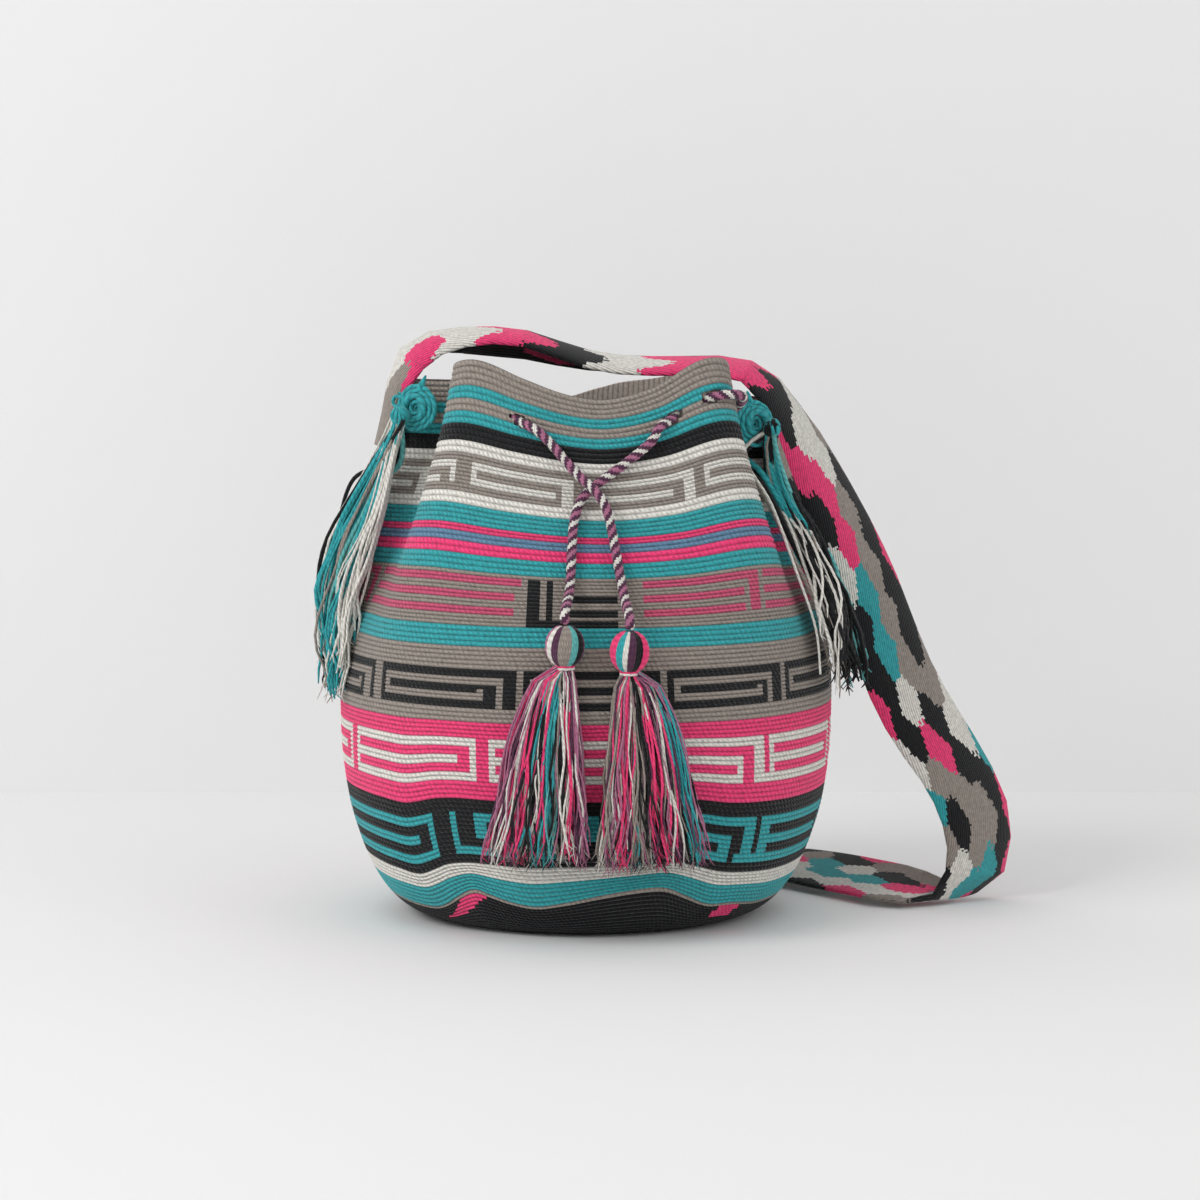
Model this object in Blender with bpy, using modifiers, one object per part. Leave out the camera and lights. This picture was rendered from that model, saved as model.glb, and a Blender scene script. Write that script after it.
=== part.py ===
"""Wayuu bag: a crocheted bucket bag with a woven strap, a drawstring, tassels and rosettes.

Metres, +Z up, the front towards -Y. The flat base rests on z = 0 with its centre on the origin.
Run with: blender --background --python part.py
"""

import math

import bmesh
import bpy
from mathutils import Matrix, Vector

# Bag body
BAG_HEIGHT = 0.300
BAG_WIDTH = 0.274
BAG_DEPTH = 0.262
BASE_DIAMETER = 0.170
MOUTH_WIDTH = 0.214
MOUTH_DEPTH = 0.138
WALL = 0.003
FOLD_DEPTH = 0.044
FOOT_BULGE = 0.006
BODY_COLUMNS = 64
BODY_ROWS = 17

# Strap
STRAP_WIDTH = 0.046
STRAP_THICKNESS = 0.0045
STRAP_STEPS = 66
STRAP_LANES = 4

# Drawstring and the slots that it runs through
CORD_DIAMETER = 0.0052
CORD_PITCH = 0.0095
SLOT_LENGTH = 0.0200
SLOT_HEIGHT = 0.0084
SLOT_REACH = 0.0080

# Tassels on the drawstring's ends
HEAD_WIDTH = 0.021
HEAD_HEIGHT = 0.022
SKIRT_LENGTH = 0.103
LOCK_NECK = 0.0050
LOCK_HEM = 0.0115

# Rosettes and side tassels at the strap's ends
ROSETTE_WIDTH = 0.027
ROSETTE_HEIGHT = 0.0045
RING_WIDTH = 0.017
RING_YARN = 0.0042
SIDE_TASSEL_LENGTH = 0.130
SIDE_LOCK = 0.0075

# Clearances: between pieces, and between a cord or strap and the faceted wall
GAP = 0.0003
WALL_CLEARANCE = 0.0014
SEAT_CLEARANCE = 0.0020
CORD_END_GAP = 0.0018

# Profile of the foot: height as a share of the bag's, then how far the half width and the half
# depth have grown from the base to the belly
FOOT = (
    (0.000, 0.00, 0.00),
    (0.015, 0.27, 0.29),
    (0.047, 0.49, 0.50),
    (0.093, 0.66, 0.69),
    (0.147, 0.79, 0.83),
    (0.213, 0.90, 0.95),
    (0.310, 0.98, 1.00),
    (0.417, 1.00, 0.97),
)

# Profile of the neck: height as a share of the bag's, how far the half width and the half depth
# have shrunk from the belly to the mouth, and how square the outline is (2 is an ellipse)
NECK = (
    (0.417, 0.00, 0.03, 2.0),
    (0.533, 0.06, 0.18, 2.1),
    (0.667, 0.26, 0.40, 2.3),
    (0.800, 0.58, 0.66, 2.5),
    (0.900, 0.81, 0.85, 2.7),
    (1.000, 1.00, 1.00, 3.0),
    (1.060, 1.04, 1.05, 3.0),
)

# Gusset folds: degrees round from +X, spread on the tip's side and on the panel's side, and
# depth as a share of FOLD_DEPTH
FOLDS = (
    (199, 7.5, 9.5, 1.0),
    (162, 7.5, 9.5, 1.0),
    (345, 7.5, 9.5, 1.0),
    (16, 7.5, 9.5, 1.0),
)

# How deep the folds are at each height, as shares of the bag's height and of their full depth
FOLD_FADE = ((0.44, 0.0), (0.54, 0.13), (0.66, 0.45), (0.78, 0.72), (0.90, 0.92), (1.00, 1.0))

# Bulges and dents round the foot: degrees round, spread, outset as a share of FOOT_BULGE
BULGES = ((219, 13, 1.0), (237, 12, -1.0), (297, 13, -0.85), (315, 13, 1.0), (60, 18, 0.6))
BULGE_FADE = ((0.00, 0.0), (0.08, 0.8), (0.14, 1.0), (0.24, 0.6), (0.38, 0.0))

# The rim: degrees round, height as a share of the bag's
RIM = (
    (0, 0.955),
    (16, 0.965),
    (38, 1.005),
    (59, 0.982),
    (75, 0.972),
    (84, 0.962),
    (106, 0.942),
    (140, 0.995),
    (162, 0.985),
    (180, 0.990),
    (199, 0.990),
    (217, 1.026),
    (227, 1.033),
    (244, 1.000),
    (262, 0.972),
    (279, 0.963),
    (298, 0.985),
    (316, 1.034),
    (326, 1.030),
    (345, 0.960),
)
RIM_FADE = ((0.55, 0.0), (0.63, 0.16), (0.77, 0.44), (0.90, 0.64), (1.00, 1.0))

# Strap route between its sewn ends: centre as shares of the bag's width, depth and height, the
# direction of its outer edge, and the half angle of its bent section in degrees
STRAP_ROUTE = (
    (-0.364, 0.015, 1.045, -0.25, 0.96, 0.10, 56),
    (-0.305, 0.025, 1.073, -0.12, 0.97, 0.00, 60),
    (-0.212, 0.038, 1.077, 0.00, 0.97, -0.20, 60),
    (-0.131, 0.038, 1.072, 0.00, 0.97, -0.22, 58),
    (-0.051, 0.034, 1.050, 0.05, 0.98, -0.16, 50),
    (0.029, 0.026, 1.030, 0.05, 0.99, -0.05, 44),
    (0.109, 0.015, 1.024, 0.05, 0.99, 0.00, 40),
    (0.208, 0.008, 1.024, 0.05, 0.99, 0.02, 38),
    (0.292, 0.006, 1.024, 0.08, 0.98, 0.05, 38),
    (0.342, 0.004, 1.012, 0.12, 0.97, 0.08, 40),
    (0.377, 0.004, 0.990, 0.20, 0.95, 0.12, 42),
    (0.404, 0.004, 0.957, 0.30, 0.92, 0.18, 42),
    (0.431, 0.000, 0.910, 0.42, 0.86, 0.25, 40),
    (0.456, -0.004, 0.865, 0.54, 0.78, 0.29, 37),
    (0.482, -0.010, 0.808, 0.64, 0.70, 0.31, 34),
    (0.527, -0.007, 0.721, 0.70, 0.64, 0.30, 28),
    (0.576, -0.008, 0.608, 0.78, 0.54, 0.32, 22),
    (0.621, -0.002, 0.495, 0.79, 0.50, 0.33, 20),
    (0.658, 0.002, 0.413, 0.78, 0.45, 0.43, 20),
    (0.697, 0.009, 0.350, 0.73, 0.43, 0.52, 20),
    (0.733, 0.025, 0.302, 0.68, 0.48, 0.55, 20),
    (0.765, 0.037, 0.257, 0.72, 0.52, 0.46, 20),
    (0.794, 0.042, 0.205, 0.79, 0.50, 0.34, 20),
    (0.814, 0.046, 0.151, 0.85, 0.48, 0.18, 20),
    (0.819, 0.056, 0.088, 0.82, 0.57, 0.00, 20),
    (0.805, 0.063, 0.042, 0.76, 0.63, -0.12, 16),
    (0.776, 0.057, 0.019, 0.68, 0.73, -0.04, 8),
    (0.743, 0.045, 0.014, 0.64, 0.76, 0.00, 4),
    (0.706, 0.032, 0.018, 0.68, 0.73, 0.10, 4),
    (0.666, 0.042, 0.026, 0.73, 0.65, 0.20, 4),
    (0.628, 0.082, 0.031, 0.78, 0.58, 0.25, 5),
    (0.595, 0.132, 0.031, 0.80, 0.55, 0.26, 5),
    (0.500, 0.260, 0.031, 0.80, 0.55, 0.26, 5),
    (0.401, 0.420, 0.028, 0.82, 0.55, 0.15, 5),
    (0.310, 0.546, 0.022, 0.86, 0.50, 0.00, 5),
    (0.228, 0.634, 0.048, 0.91, 0.41, 0.00, 8),
    (0.190, 0.656, 0.150, 0.97, 0.20, 0.06, 10),
    (0.201, 0.630, 0.283, 0.99, 0.00, -0.08, 12),
    (0.248, 0.553, 0.417, 0.93, -0.12, -0.33, 12),
    (0.321, 0.439, 0.527, 0.73, -0.15, -0.67, 12),
    (0.394, 0.298, 0.600, 0.48, -0.35, -0.80, 14),
    (0.449, 0.160, 0.660, 0.18, -0.62, -0.76, 18),
    (0.481, 0.066, 0.735, 0.03, -0.88, -0.47, 26),
)

# Sewn ends of the strap, up the outside of a gusset: height share and half angle of the section
LEFT_SEAT = ((0.870, 56), (0.925, 62), (0.975, 64), (1.012, 60))
RIGHT_SEAT = ((0.825, 40), (0.880, 50), (0.930, 58), (0.972, 60))

# Where the drawstring goes through the wall: degrees round, height share, way round that leads
# outside, and how much lower the outer side is as a share of the height
LEFT_EYELET = (242.6, 0.925, 1, 0.010)
BACK_LEFT_HOLES = ((121.0, 0.925, -1, 0.0), (104.0, 0.922, 1, 0.0))
BACK_RIGHT_HOLES = ((74.0, 0.930, -1, 0.0), (51.5, 0.935, 1, 0.0))
CREST_HOLES = ((336.0, 0.940, -1, 0.0), (317.0, 0.940, 1, 0.0))
CREST = (326.5, 0.940, 1.25)
RIGHT_EYELET = (305.6, 0.932, -1, 0.010)

# Where the drawstring runs straight past the gussets, inside: shares of the width and depth
CORD_GUSSET_X = 0.183
CORD_GUSSET_Y = 0.130

# Drawstring in front of the wall, from each eyelet to its tassel: shares of the bag's width and
# height, and the distance off the wall in cord diameters
LEFT_END = (
    (-0.075, 0.858, 0.10),
    (-0.046, 0.825, 0.20),
    (-0.022, 0.796, 0.60),
    (0.005, 0.768, 1.15),
    (0.030, 0.738, 1.15),
    (0.055, 0.700, 0.45),
    (0.076, 0.648, 0.20),
    (0.085, 0.600, 0.45),
)
RIGHT_END = (
    (0.120, 0.862, 0.10),
    (0.085, 0.828, 0.10),
    (0.048, 0.796, 0.05),
    (0.016, 0.768, 0.02),
    (-0.014, 0.732, 0.02),
    (-0.033, 0.680, 0.15),
    (-0.039, 0.612, 0.45),
)

# Tassels: head centre as shares of the bag's width and height, hem width in metres and how far
# the hem's middle lies to the side of the head
LEFT_TASSEL = (-0.0387, 0.540, 0.057, -0.0150)
RIGHT_TASSEL = (0.0854, 0.530, 0.060, 0.0120)

# Locks of a tassel's skirt: place across the hem from -1 to 1, layer off the wall, share of the
# skirt's length
LOCKS = (
    (-1.00, 0, 0.96),
    (-0.45, 0, 1.00),
    (0.10, 0, 0.98),
    (0.62, 0, 1.00),
    (1.00, 0, 0.95),
    (-0.72, 1, 0.98),
    (-0.20, 1, 1.00),
    (0.32, 1, 0.97),
    (0.80, 1, 0.99),
)

# Locks of a side tassel: degrees from the gusset's tip towards the front where it hangs, furthest
# outset in metres, and share of the tassel's length
SIDE_LOCKS = (
    (-2, 0.003, 0.80),
    (4, 0.006, 1.00),
    (11, 0.007, 0.95),
    (18, 0.005, 0.98),
    (7, 0.001, 0.92),
    (14, 0.001, 0.95),
)

# Side tassels: the gusset's tip, the way round to the front, height share and degrees of the
# knot, degrees that the locks are shifted by, and how far off the wall the hem is held
LEFT_TIP = 180
RIGHT_TIP = 360
LEFT_SIDE = (LEFT_TIP, 1, 0.840, 9, 0, 0.000)
RIGHT_SIDE = (RIGHT_TIP, -1, 0.865, 18, 8, 0.011)
SIDE_START = 0.006

# Where the rosettes sit on the strap: distance from its end, place across it from -1 to 1, and
# how far they slide on past that place
LEFT_ROSETTE = (0.026, -0.95, 0.011)
RIGHT_ROSETTE = (0.004, 0.90, 0.009)

BASE_ROWS = 2 / BODY_ROWS
COLLECTION = "wayuu_bag"


def clear_scene():
    for obj in list(bpy.data.objects):
        bpy.data.objects.remove(obj, do_unlink=True)


def make_collection(name):
    collection = bpy.data.collections.new(name)
    bpy.context.scene.collection.children.link(collection)
    return collection


def make_material(name, color, roughness):
    material = bpy.data.materials.new(name)
    material.use_nodes = True
    shader = material.node_tree.nodes["Principled BSDF"]
    shader.inputs["Base Color"].default_value = (*color, 1.0)
    shader.inputs["Roughness"].default_value = roughness
    shader.inputs["Metallic"].default_value = 0.0
    return material


def smooth(table, x, column=1):
    """The value at x of a smooth curve through one column of a table."""
    last = len(table) - 1
    if x <= table[0][0]:
        return table[0][column]
    if x >= table[last][0]:
        return table[last][column]
    i = max(k for k in range(last) if table[k][0] <= x)
    before, start, end, after = table[max(i - 1, 0)], table[i], table[i + 1], table[min(i + 2, last)]
    span = end[0] - start[0]
    slope_in = (end[column] - before[column]) / (end[0] - before[0]) * span
    slope_out = (after[column] - start[column]) / (after[0] - start[0]) * span
    t = (x - start[0]) / span
    rise = t * t * (3 - 2 * t)
    bend = slope_in * t * (1 - t) ** 2 - slope_out * t * t * (1 - t)
    return start[column] + (end[column] - start[column]) * rise + bend


def round_table(table):
    """A table of rows by degrees, repeated a turn before and after."""
    turns = (-360, 0, 360)
    return tuple((row[0] + turn, *row[1:]) for turn in turns for row in table)


RIM_ROUND = round_table(RIM)


def degrees_apart(a, b):
    """From b to a the short way round, in degrees."""
    return (a - b + 180) % 360 - 180


def outline_sizes(share):
    """Half width, half depth and squareness of the bag's outline at a height share."""
    if share <= FOOT[-1][0]:
        wide, deep = smooth(FOOT, share, 1), smooth(FOOT, share, 2)
        base = BASE_DIAMETER / 2
        return base + (BAG_WIDTH / 2 - base) * wide, base + (BAG_DEPTH / 2 - base) * deep, 2.0
    narrow, shallow = smooth(NECK, share, 1), smooth(NECK, share, 2)
    width = BAG_WIDTH + (MOUTH_WIDTH - BAG_WIDTH) * narrow
    depth = BAG_DEPTH + (MOUTH_DEPTH - BAG_DEPTH) * shallow
    return width / 2, depth / 2, smooth(NECK, share, 3)


def wall_radius(degrees, share):
    """Outer radius of the wall, with its folds, bulges and dents."""
    half_width, half_depth, square = outline_sizes(share)
    angle = math.radians(degrees)
    across = abs(math.cos(angle)) / half_width
    along = abs(math.sin(angle)) / half_depth
    radius = (across**square + along**square) ** (-1 / square)
    for centre, tip_spread, panel_spread, depth in FOLDS:
        away = degrees_apart(degrees, centre)
        tip = 0 if degrees_apart(centre, 0) ** 2 < 90**2 else 180
        towards_tip = away * degrees_apart(tip, centre) > 0
        spread = tip_spread if towards_tip else panel_spread
        radius -= FOLD_DEPTH * depth * smooth(FOLD_FADE, share) * math.exp(-0.5 * (away / spread) ** 2)
    for centre, spread, outset in BULGES:
        away = degrees_apart(degrees, centre)
        radius += FOOT_BULGE * outset * smooth(BULGE_FADE, share) * math.exp(-0.5 * (away / spread) ** 2)
    return radius


def wall_height(degrees, share):
    """Height of the point at a share of the way up the wall, whose rim isn't level."""
    lift = smooth(RIM_ROUND, degrees % 360) - 1
    return BAG_HEIGHT * (share + lift * smooth(RIM_FADE, share))


def on_wall(degrees, share):
    height = wall_height(degrees, share)
    radius = wall_radius(degrees, height / BAG_HEIGHT)
    angle = math.radians(degrees)
    return Vector((radius * math.cos(angle), radius * math.sin(angle), height))


def wall_normal(degrees, share):
    step = 0.5
    along = on_wall(degrees + step, share) - on_wall(degrees - step, share)
    up = on_wall(degrees, share) - on_wall(degrees, share - 0.005)
    return along.cross(up).normalized()


def off_wall(degrees, share, outset):
    return on_wall(degrees, share) + wall_normal(degrees, share) * outset


def in_front(x, height, outset):
    """The point at x and height, and outset in front of the bag's front wall."""
    share = height / BAG_HEIGHT
    degrees = 270.0
    for _ in range(12):
        radius = wall_radius(degrees, share)
        degrees = 270 + math.degrees(math.asin(max(-0.9, min(0.9, x / radius))))
    depth = wall_radius(degrees, share) * math.sin(math.radians(degrees))
    return Vector((x, depth - outset, height))


def curve_through(rows, steps):
    """Rows along a smooth curve through the given rows, every column alike."""
    found = []
    last = len(rows) - 1
    for i in range(last):
        before, start, end, after = rows[max(i - 1, 0)], rows[i], rows[i + 1], rows[min(i + 2, last)]
        for k in range(steps):
            t = k / steps
            weights = (
                -0.5 * t + t * t - 0.5 * t**3,
                1 - 2.5 * t * t + 1.5 * t**3,
                0.5 * t + 2 * t * t - 1.5 * t**3,
                -0.5 * t * t + 0.5 * t**3,
            )
            columns = zip(before, start, end, after)
            found.append([sum(w * value for w, value in zip(weights, four)) for four in columns])
    found.append(list(rows[last]))
    return found


def evenly(rows, count):
    """The rows at equal distances along the curve of their first three columns."""
    lengths = [0.0]
    for a, b in zip(rows, rows[1:]):
        lengths.append(lengths[-1] + (Vector(b[:3]) - Vector(a[:3])).length)
    found = []
    i = 0
    for k in range(count + 1):
        target = lengths[-1] * k / count
        while i < len(rows) - 2 and lengths[i + 1] < target:
            i += 1
        t = (target - lengths[i]) / (lengths[i + 1] - lengths[i])
        found.append([a + (b - a) * t for a, b in zip(rows[i], rows[i + 1])])
    return found


def make_object(name, mesh, collection, material=None):
    obj = bpy.data.objects.new(name, mesh)
    collection.objects.link(obj)
    if material:
        mesh.materials.append(material)
    return obj


def grid_surface(name, columns, rows, place):
    """A grid whose points are moved to place(u, v), both from 0 to 1."""
    shape = bmesh.new()
    bmesh.ops.create_grid(shape, x_segments=columns, y_segments=rows, size=0.5)
    for vertex in shape.verts:
        vertex.co = place(vertex.co.x + 0.5, vertex.co.y + 0.5)
    bmesh.ops.remove_doubles(shape, verts=shape.verts, dist=0.00001)
    bmesh.ops.recalc_face_normals(shape, faces=shape.faces)
    mesh = bpy.data.meshes.new(name)
    shape.to_mesh(mesh)
    shape.free()
    return mesh


def thicken(obj, thickness, offset):
    solid = obj.modifiers.new("Thickness", "SOLIDIFY")
    solid.thickness = thickness
    solid.offset = offset
    solid.use_even_offset = True


def outward_mesh(mesh):
    """Turns the faces outwards: a closed or cupped surface round the middle of the bag."""
    shape = bmesh.new()
    shape.from_mesh(mesh)
    away = sum(face.normal.dot(face.calc_center_median()) * face.calc_area() for face in shape.faces)
    if away < 0:
        bmesh.ops.reverse_faces(shape, faces=shape.faces)
    shape.to_mesh(mesh)
    shape.free()


def body_share(v):
    """Share of the way up the wall of a row; the first rows are the flat base."""
    return max(0.0, (v - BASE_ROWS) / (1 - BASE_ROWS))


def body_point(u, v):
    degrees = 360 * u
    if v < BASE_ROWS:
        angle = math.radians(degrees)
        radius = BASE_DIAMETER / 2 * v / BASE_ROWS
        return Vector((radius * math.cos(angle), radius * math.sin(angle), 0.0))
    return on_wall(degrees, body_share(v) ** 1.25)


def add_slots(body, cutters):
    """Cuts a slot through the wall wherever the drawstring goes through it."""
    holes = (*BACK_LEFT_HOLES, *BACK_RIGHT_HOLES, *CREST_HOLES, LEFT_EYELET, RIGHT_EYELET)
    for number, hole in enumerate(holes, 1):
        inside, middle, outside = crossing(hole)
        normal = wall_normal(hole[0], hole[1])
        long_way = outside - inside
        long_way = (long_way - normal * long_way.dot(normal)).normalized()
        bpy.ops.mesh.primitive_cylinder_add(vertices=14, radius=0.5, depth=1.0)
        cutter = bpy.context.object
        cutter.name = f"slot_{number}"
        for collection in list(cutter.users_collection):
            collection.objects.unlink(cutter)
        cutters.objects.link(cutter)
        cutter.hide_render = True
        cutter.display_type = "WIRE"
        turn = Matrix((long_way, normal.cross(long_way), normal)).transposed()
        cutter.rotation_euler = turn.to_euler()
        cutter.scale = (SLOT_LENGTH, SLOT_HEIGHT, WALL * 3.4)
        cutter.location = middle
    cut = body.modifiers.new("Slots", "BOOLEAN")
    cut.operation = "DIFFERENCE"
    cut.operand_type = "COLLECTION"
    cut.collection = cutters
    cut.solver = "EXACT"


def add_body(collection, cutters):
    mesh = grid_surface("bag_body", BODY_COLUMNS, BODY_ROWS, body_point)
    outward_mesh(mesh)
    material = make_material("crocheted_cotton", (0.27, 0.23, 0.20), 0.85)
    body = make_object("bag_body", mesh, collection, material)
    thicken(body, WALL, -1.0)
    add_slots(body, cutters)


def seat_rows(tip, seat):
    """Strap rows up the outside of the gusset with its tip at these degrees."""
    edge = 1.0 if tip == LEFT_TIP else -1.0
    rows = []
    for share, bend in seat:
        place = off_wall(tip, share, SEAT_CLEARANCE + STRAP_THICKNESS / 2)
        rows.append((*place, 0.0, edge, 0.0, bend))
    return rows


def strap_rows():
    """Rows along the strap: centre, direction of the outer edge and half angle of its section."""
    sizes = (BAG_WIDTH, BAG_DEPTH, BAG_HEIGHT)
    middle = [(*(share * size for share, size in zip(row, sizes)), *row[3:]) for row in STRAP_ROUTE]
    rows = [*seat_rows(LEFT_TIP, LEFT_SEAT), *middle, *seat_rows(RIGHT_TIP, RIGHT_SEAT)]
    return evenly(curve_through(rows, 10), STRAP_STEPS)


def strap_frame(rows, position):
    """Centre, edge and face directions and half angle at a place from 0 to the last row."""
    i = max(0, min(len(rows) - 2, int(position)))
    t = position - i
    row = [a + (b - a) * t for a, b in zip(rows[i], rows[i + 1])]
    before = rows[max(0, i - 1)] if t < 0.5 else rows[i]
    after = rows[i + 1] if t < 0.5 else rows[min(len(rows) - 1, i + 2)]
    along = (Vector(after[:3]) - Vector(before[:3])).normalized()
    edge = Vector(row[3:6]).normalized()
    return Vector(row[:3]), edge, along.cross(edge).normalized(), math.radians(row[6])


def on_strap(rows, position, across, outset=0.0):
    """A point of the strap: across runs from -1 to 1, outset is off its middle surface."""
    centre, edge, face, bend = strap_frame(rows, position)
    if abs(bend) < 0.02:
        return centre + edge * (STRAP_WIDTH / 2 * across) + face * outset
    radius = STRAP_WIDTH / 2 / bend
    turn = bend * across
    reach = radius + outset
    return centre - face * radius + edge * (reach * math.sin(turn)) + face * (reach * math.cos(turn))


def add_strap(collection, rows):
    def place(u, v):
        return on_strap(rows, u * STRAP_STEPS, v * 2 - 1)

    mesh = grid_surface("strap", STRAP_STEPS, STRAP_LANES, place)
    material = make_material("woven_strap", (0.10, 0.09, 0.09), 0.8)
    strap = make_object("strap", mesh, collection, material)
    thicken(strap, STRAP_THICKNESS, 0.0)


def cord_beside(degrees, share, side):
    """A point of the drawstring beside the wall: side is -1 inside and 1 outside."""
    off = WALL / 2 + CORD_DIAMETER / 2 + WALL_CLEARANCE
    return off_wall(degrees, share, side * off - WALL / 2)


def degrees_along(degrees, share, way):
    """The degrees at SLOT_REACH along the wall from a place, measured round its folds."""
    start = on_wall(degrees, share)
    turned = degrees
    while (on_wall(turned, share) - start).length < SLOT_REACH:
        turned += way * 0.1
    return turned


def crossing(hole):
    """The drawstring's points inside, within and outside the wall at a hole."""
    degrees, share, way, drop = hole
    inside = cord_beside(degrees_along(degrees, share, -way), share + drop, -1)
    outside = cord_beside(degrees_along(degrees, share, way), share - drop, 1)
    return [inside, off_wall(degrees, share, -WALL / 2), outside]


def end_points(table):
    """The part of the drawstring that hangs in front of the wall."""
    points = []
    for across, up, off in table:
        outset = CORD_DIAMETER * (0.5 + off) + WALL_CLEARANCE
        points.append(in_front(across * BAG_WIDTH, up * BAG_HEIGHT, outset))
    return points


def cord_end(tassel):
    """The last two points of the drawstring, straight above a tassel's head."""
    end = head_centre(tassel) + Vector((0, 0, HEAD_HEIGHT / 2 + CORD_END_GAP))
    return [end + Vector((0, 0, CORD_DIAMETER)), end]


def there_and_back(first, second):
    """Out through one hole and in again through the other."""
    return [*crossing(first), *reversed(crossing(second))]


def drawstring_points():
    """The whole route, from the right tassel round the mouth to the left tassel."""
    height = BAG_HEIGHT * LEFT_EYELET[1]
    gusset_x, gusset_y = CORD_GUSSET_X * BAG_WIDTH, CORD_GUSSET_Y * BAG_DEPTH
    left_side = [Vector((-gusset_x, y, height)) for y in (-gusset_y, 0.0, gusset_y)]
    right_side = [Vector((gusset_x, y, height)) for y in (gusset_y, 0.0)]
    return [
        *reversed([*end_points(LEFT_END), *cord_end(RIGHT_TASSEL)]),
        *reversed(crossing(LEFT_EYELET)),
        *left_side,
        *there_and_back(*BACK_LEFT_HOLES),
        *there_and_back(*BACK_RIGHT_HOLES),
        *right_side,
        *crossing(CREST_HOLES[0]),
        cord_beside(*CREST),
        *reversed(crossing(CREST_HOLES[1])),
        *crossing(RIGHT_EYELET),
        *end_points(RIGHT_END),
        *cord_end(LEFT_TASSEL),
    ]


def poly_tube(name, points, radii, resolution, collection):
    """A curve object along points, its radius given at each of them, with filled caps."""
    curve = bpy.data.curves.new(name, "CURVE")
    curve.dimensions = "3D"
    curve.bevel_depth = 1.0
    curve.bevel_resolution = resolution
    curve.use_fill_caps = True
    spline = curve.splines.new("POLY")
    spline.points.add(len(points) - 1)
    for point, place, radius in zip(spline.points, points, radii):
        point.co = (*place, 1.0)
        point.radius = radius
    tube = bpy.data.objects.new(name, curve)
    collection.objects.link(tube)
    return tube


def add_drawstring(collection):
    rows = curve_through([tuple(point) for point in drawstring_points()], 8)
    length = sum((Vector(b) - Vector(a)).length for a, b in zip(rows, rows[1:]))
    rows = evenly(rows, round(length / CORD_PITCH))
    cord = poly_tube("drawstring", rows, [CORD_DIAMETER / 2] * len(rows), 2, collection)
    cord.data.materials.append(make_material("twisted_cord", (0.70, 0.22, 0.36), 0.75))


def mesh_of(tube):
    """Makes a closed mesh object of a curve object, in its place."""
    graph = bpy.context.evaluated_depsgraph_get()
    mesh = bpy.data.meshes.new_from_object(tube.evaluated_get(graph))
    shape = bmesh.new()
    shape.from_mesh(mesh)
    bmesh.ops.remove_doubles(shape, verts=shape.verts, dist=0.00001)
    bmesh.ops.recalc_face_normals(shape, faces=shape.faces)
    shape.to_mesh(mesh)
    shape.free()
    name = tube.name
    made = bpy.data.objects.new(name + "_mesh", mesh)
    for collection in tube.users_collection:
        collection.objects.link(made)
    made.matrix_world = tube.matrix_world
    bpy.data.objects.remove(tube, do_unlink=True)
    made.name = name
    return made


def fuse(base, pieces):
    """Joins the helper pieces to the base object, which they overlap and each other too."""
    group = bpy.data.collections.new(base.name + "_pieces")
    pieces[0].users_collection[0].children.link(group)
    for piece in pieces:
        for collection in list(piece.users_collection):
            collection.objects.unlink(piece)
        group.objects.link(piece)
        piece.hide_render = True
        piece.display_type = "WIRE"
    union = base.modifiers.new("Pieces", "BOOLEAN")
    union.operation = "UNION"
    union.operand_type = "COLLECTION"
    union.collection = group
    union.solver = "EXACT"
    union.use_self = True


def sphere(name, size, place, collection, segments=14, rings=9):
    """A ball of the given size along x, y and z, its points moved by place."""
    shape = bmesh.new()
    bmesh.ops.create_uvsphere(shape, u_segments=segments, v_segments=rings, radius=0.5)
    for vertex in shape.verts:
        x, y, z = vertex.co
        vertex.co = place(Vector((x * size[0], y * size[1], z * size[2])))
    bmesh.ops.recalc_face_normals(shape, faces=shape.faces)
    mesh = bpy.data.meshes.new(name)
    shape.to_mesh(mesh)
    shape.free()
    return make_object(name, mesh, collection)


def head_centre(tassel):
    across, up = tassel[0] * BAG_WIDTH, tassel[1] * BAG_HEIGHT
    return in_front(across, up, HEAD_WIDTH / 2 + WALL_CLEARANCE)


def skirt_lock(tassel, lock):
    """Points and radii of one lock of a tassel's skirt, from inside the head to the hem."""
    _, _, hem_width, hem_shift = tassel
    side, layer, length = lock
    head = head_centre(tassel)
    top = head - Vector((0, 0, HEAD_HEIGHT * 0.3))
    hem_x = head.x + hem_shift + side * (hem_width - LOCK_HEM) / 2
    steps = 6
    points, radii = [], []
    for k in range(steps + 1):
        t = k / steps
        radius = (LOCK_NECK + (LOCK_HEM - LOCK_NECK) * t**0.6) / 2
        x = top.x + (hem_x - top.x) * t**0.75
        z = top.z - SKIRT_LENGTH * length * t
        hang = in_front(x, z, WALL_CLEARANCE + radius + layer * LOCK_HEM * 0.62 * t**0.5)
        y = top.y + (hang.y - top.y) * min(1.0, 3 * t)
        points.append((x, y, z))
        radii.append(radius)
    return points, radii


def add_tassel(name, tassel, material, collection, helpers):
    centre = head_centre(tassel)
    size = (HEAD_WIDTH, HEAD_WIDTH, HEAD_HEIGHT)
    head = sphere(name, size, lambda point: point + centre, collection)
    head.data.materials.append(material)
    locks = []
    for number, lock in enumerate(LOCKS, 1):
        points, radii = skirt_lock(tassel, lock)
        locks.append(mesh_of(poly_tube(f"{name}_lock_{number}", points, radii, 1, helpers)))
    fuse(head, locks)


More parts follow.
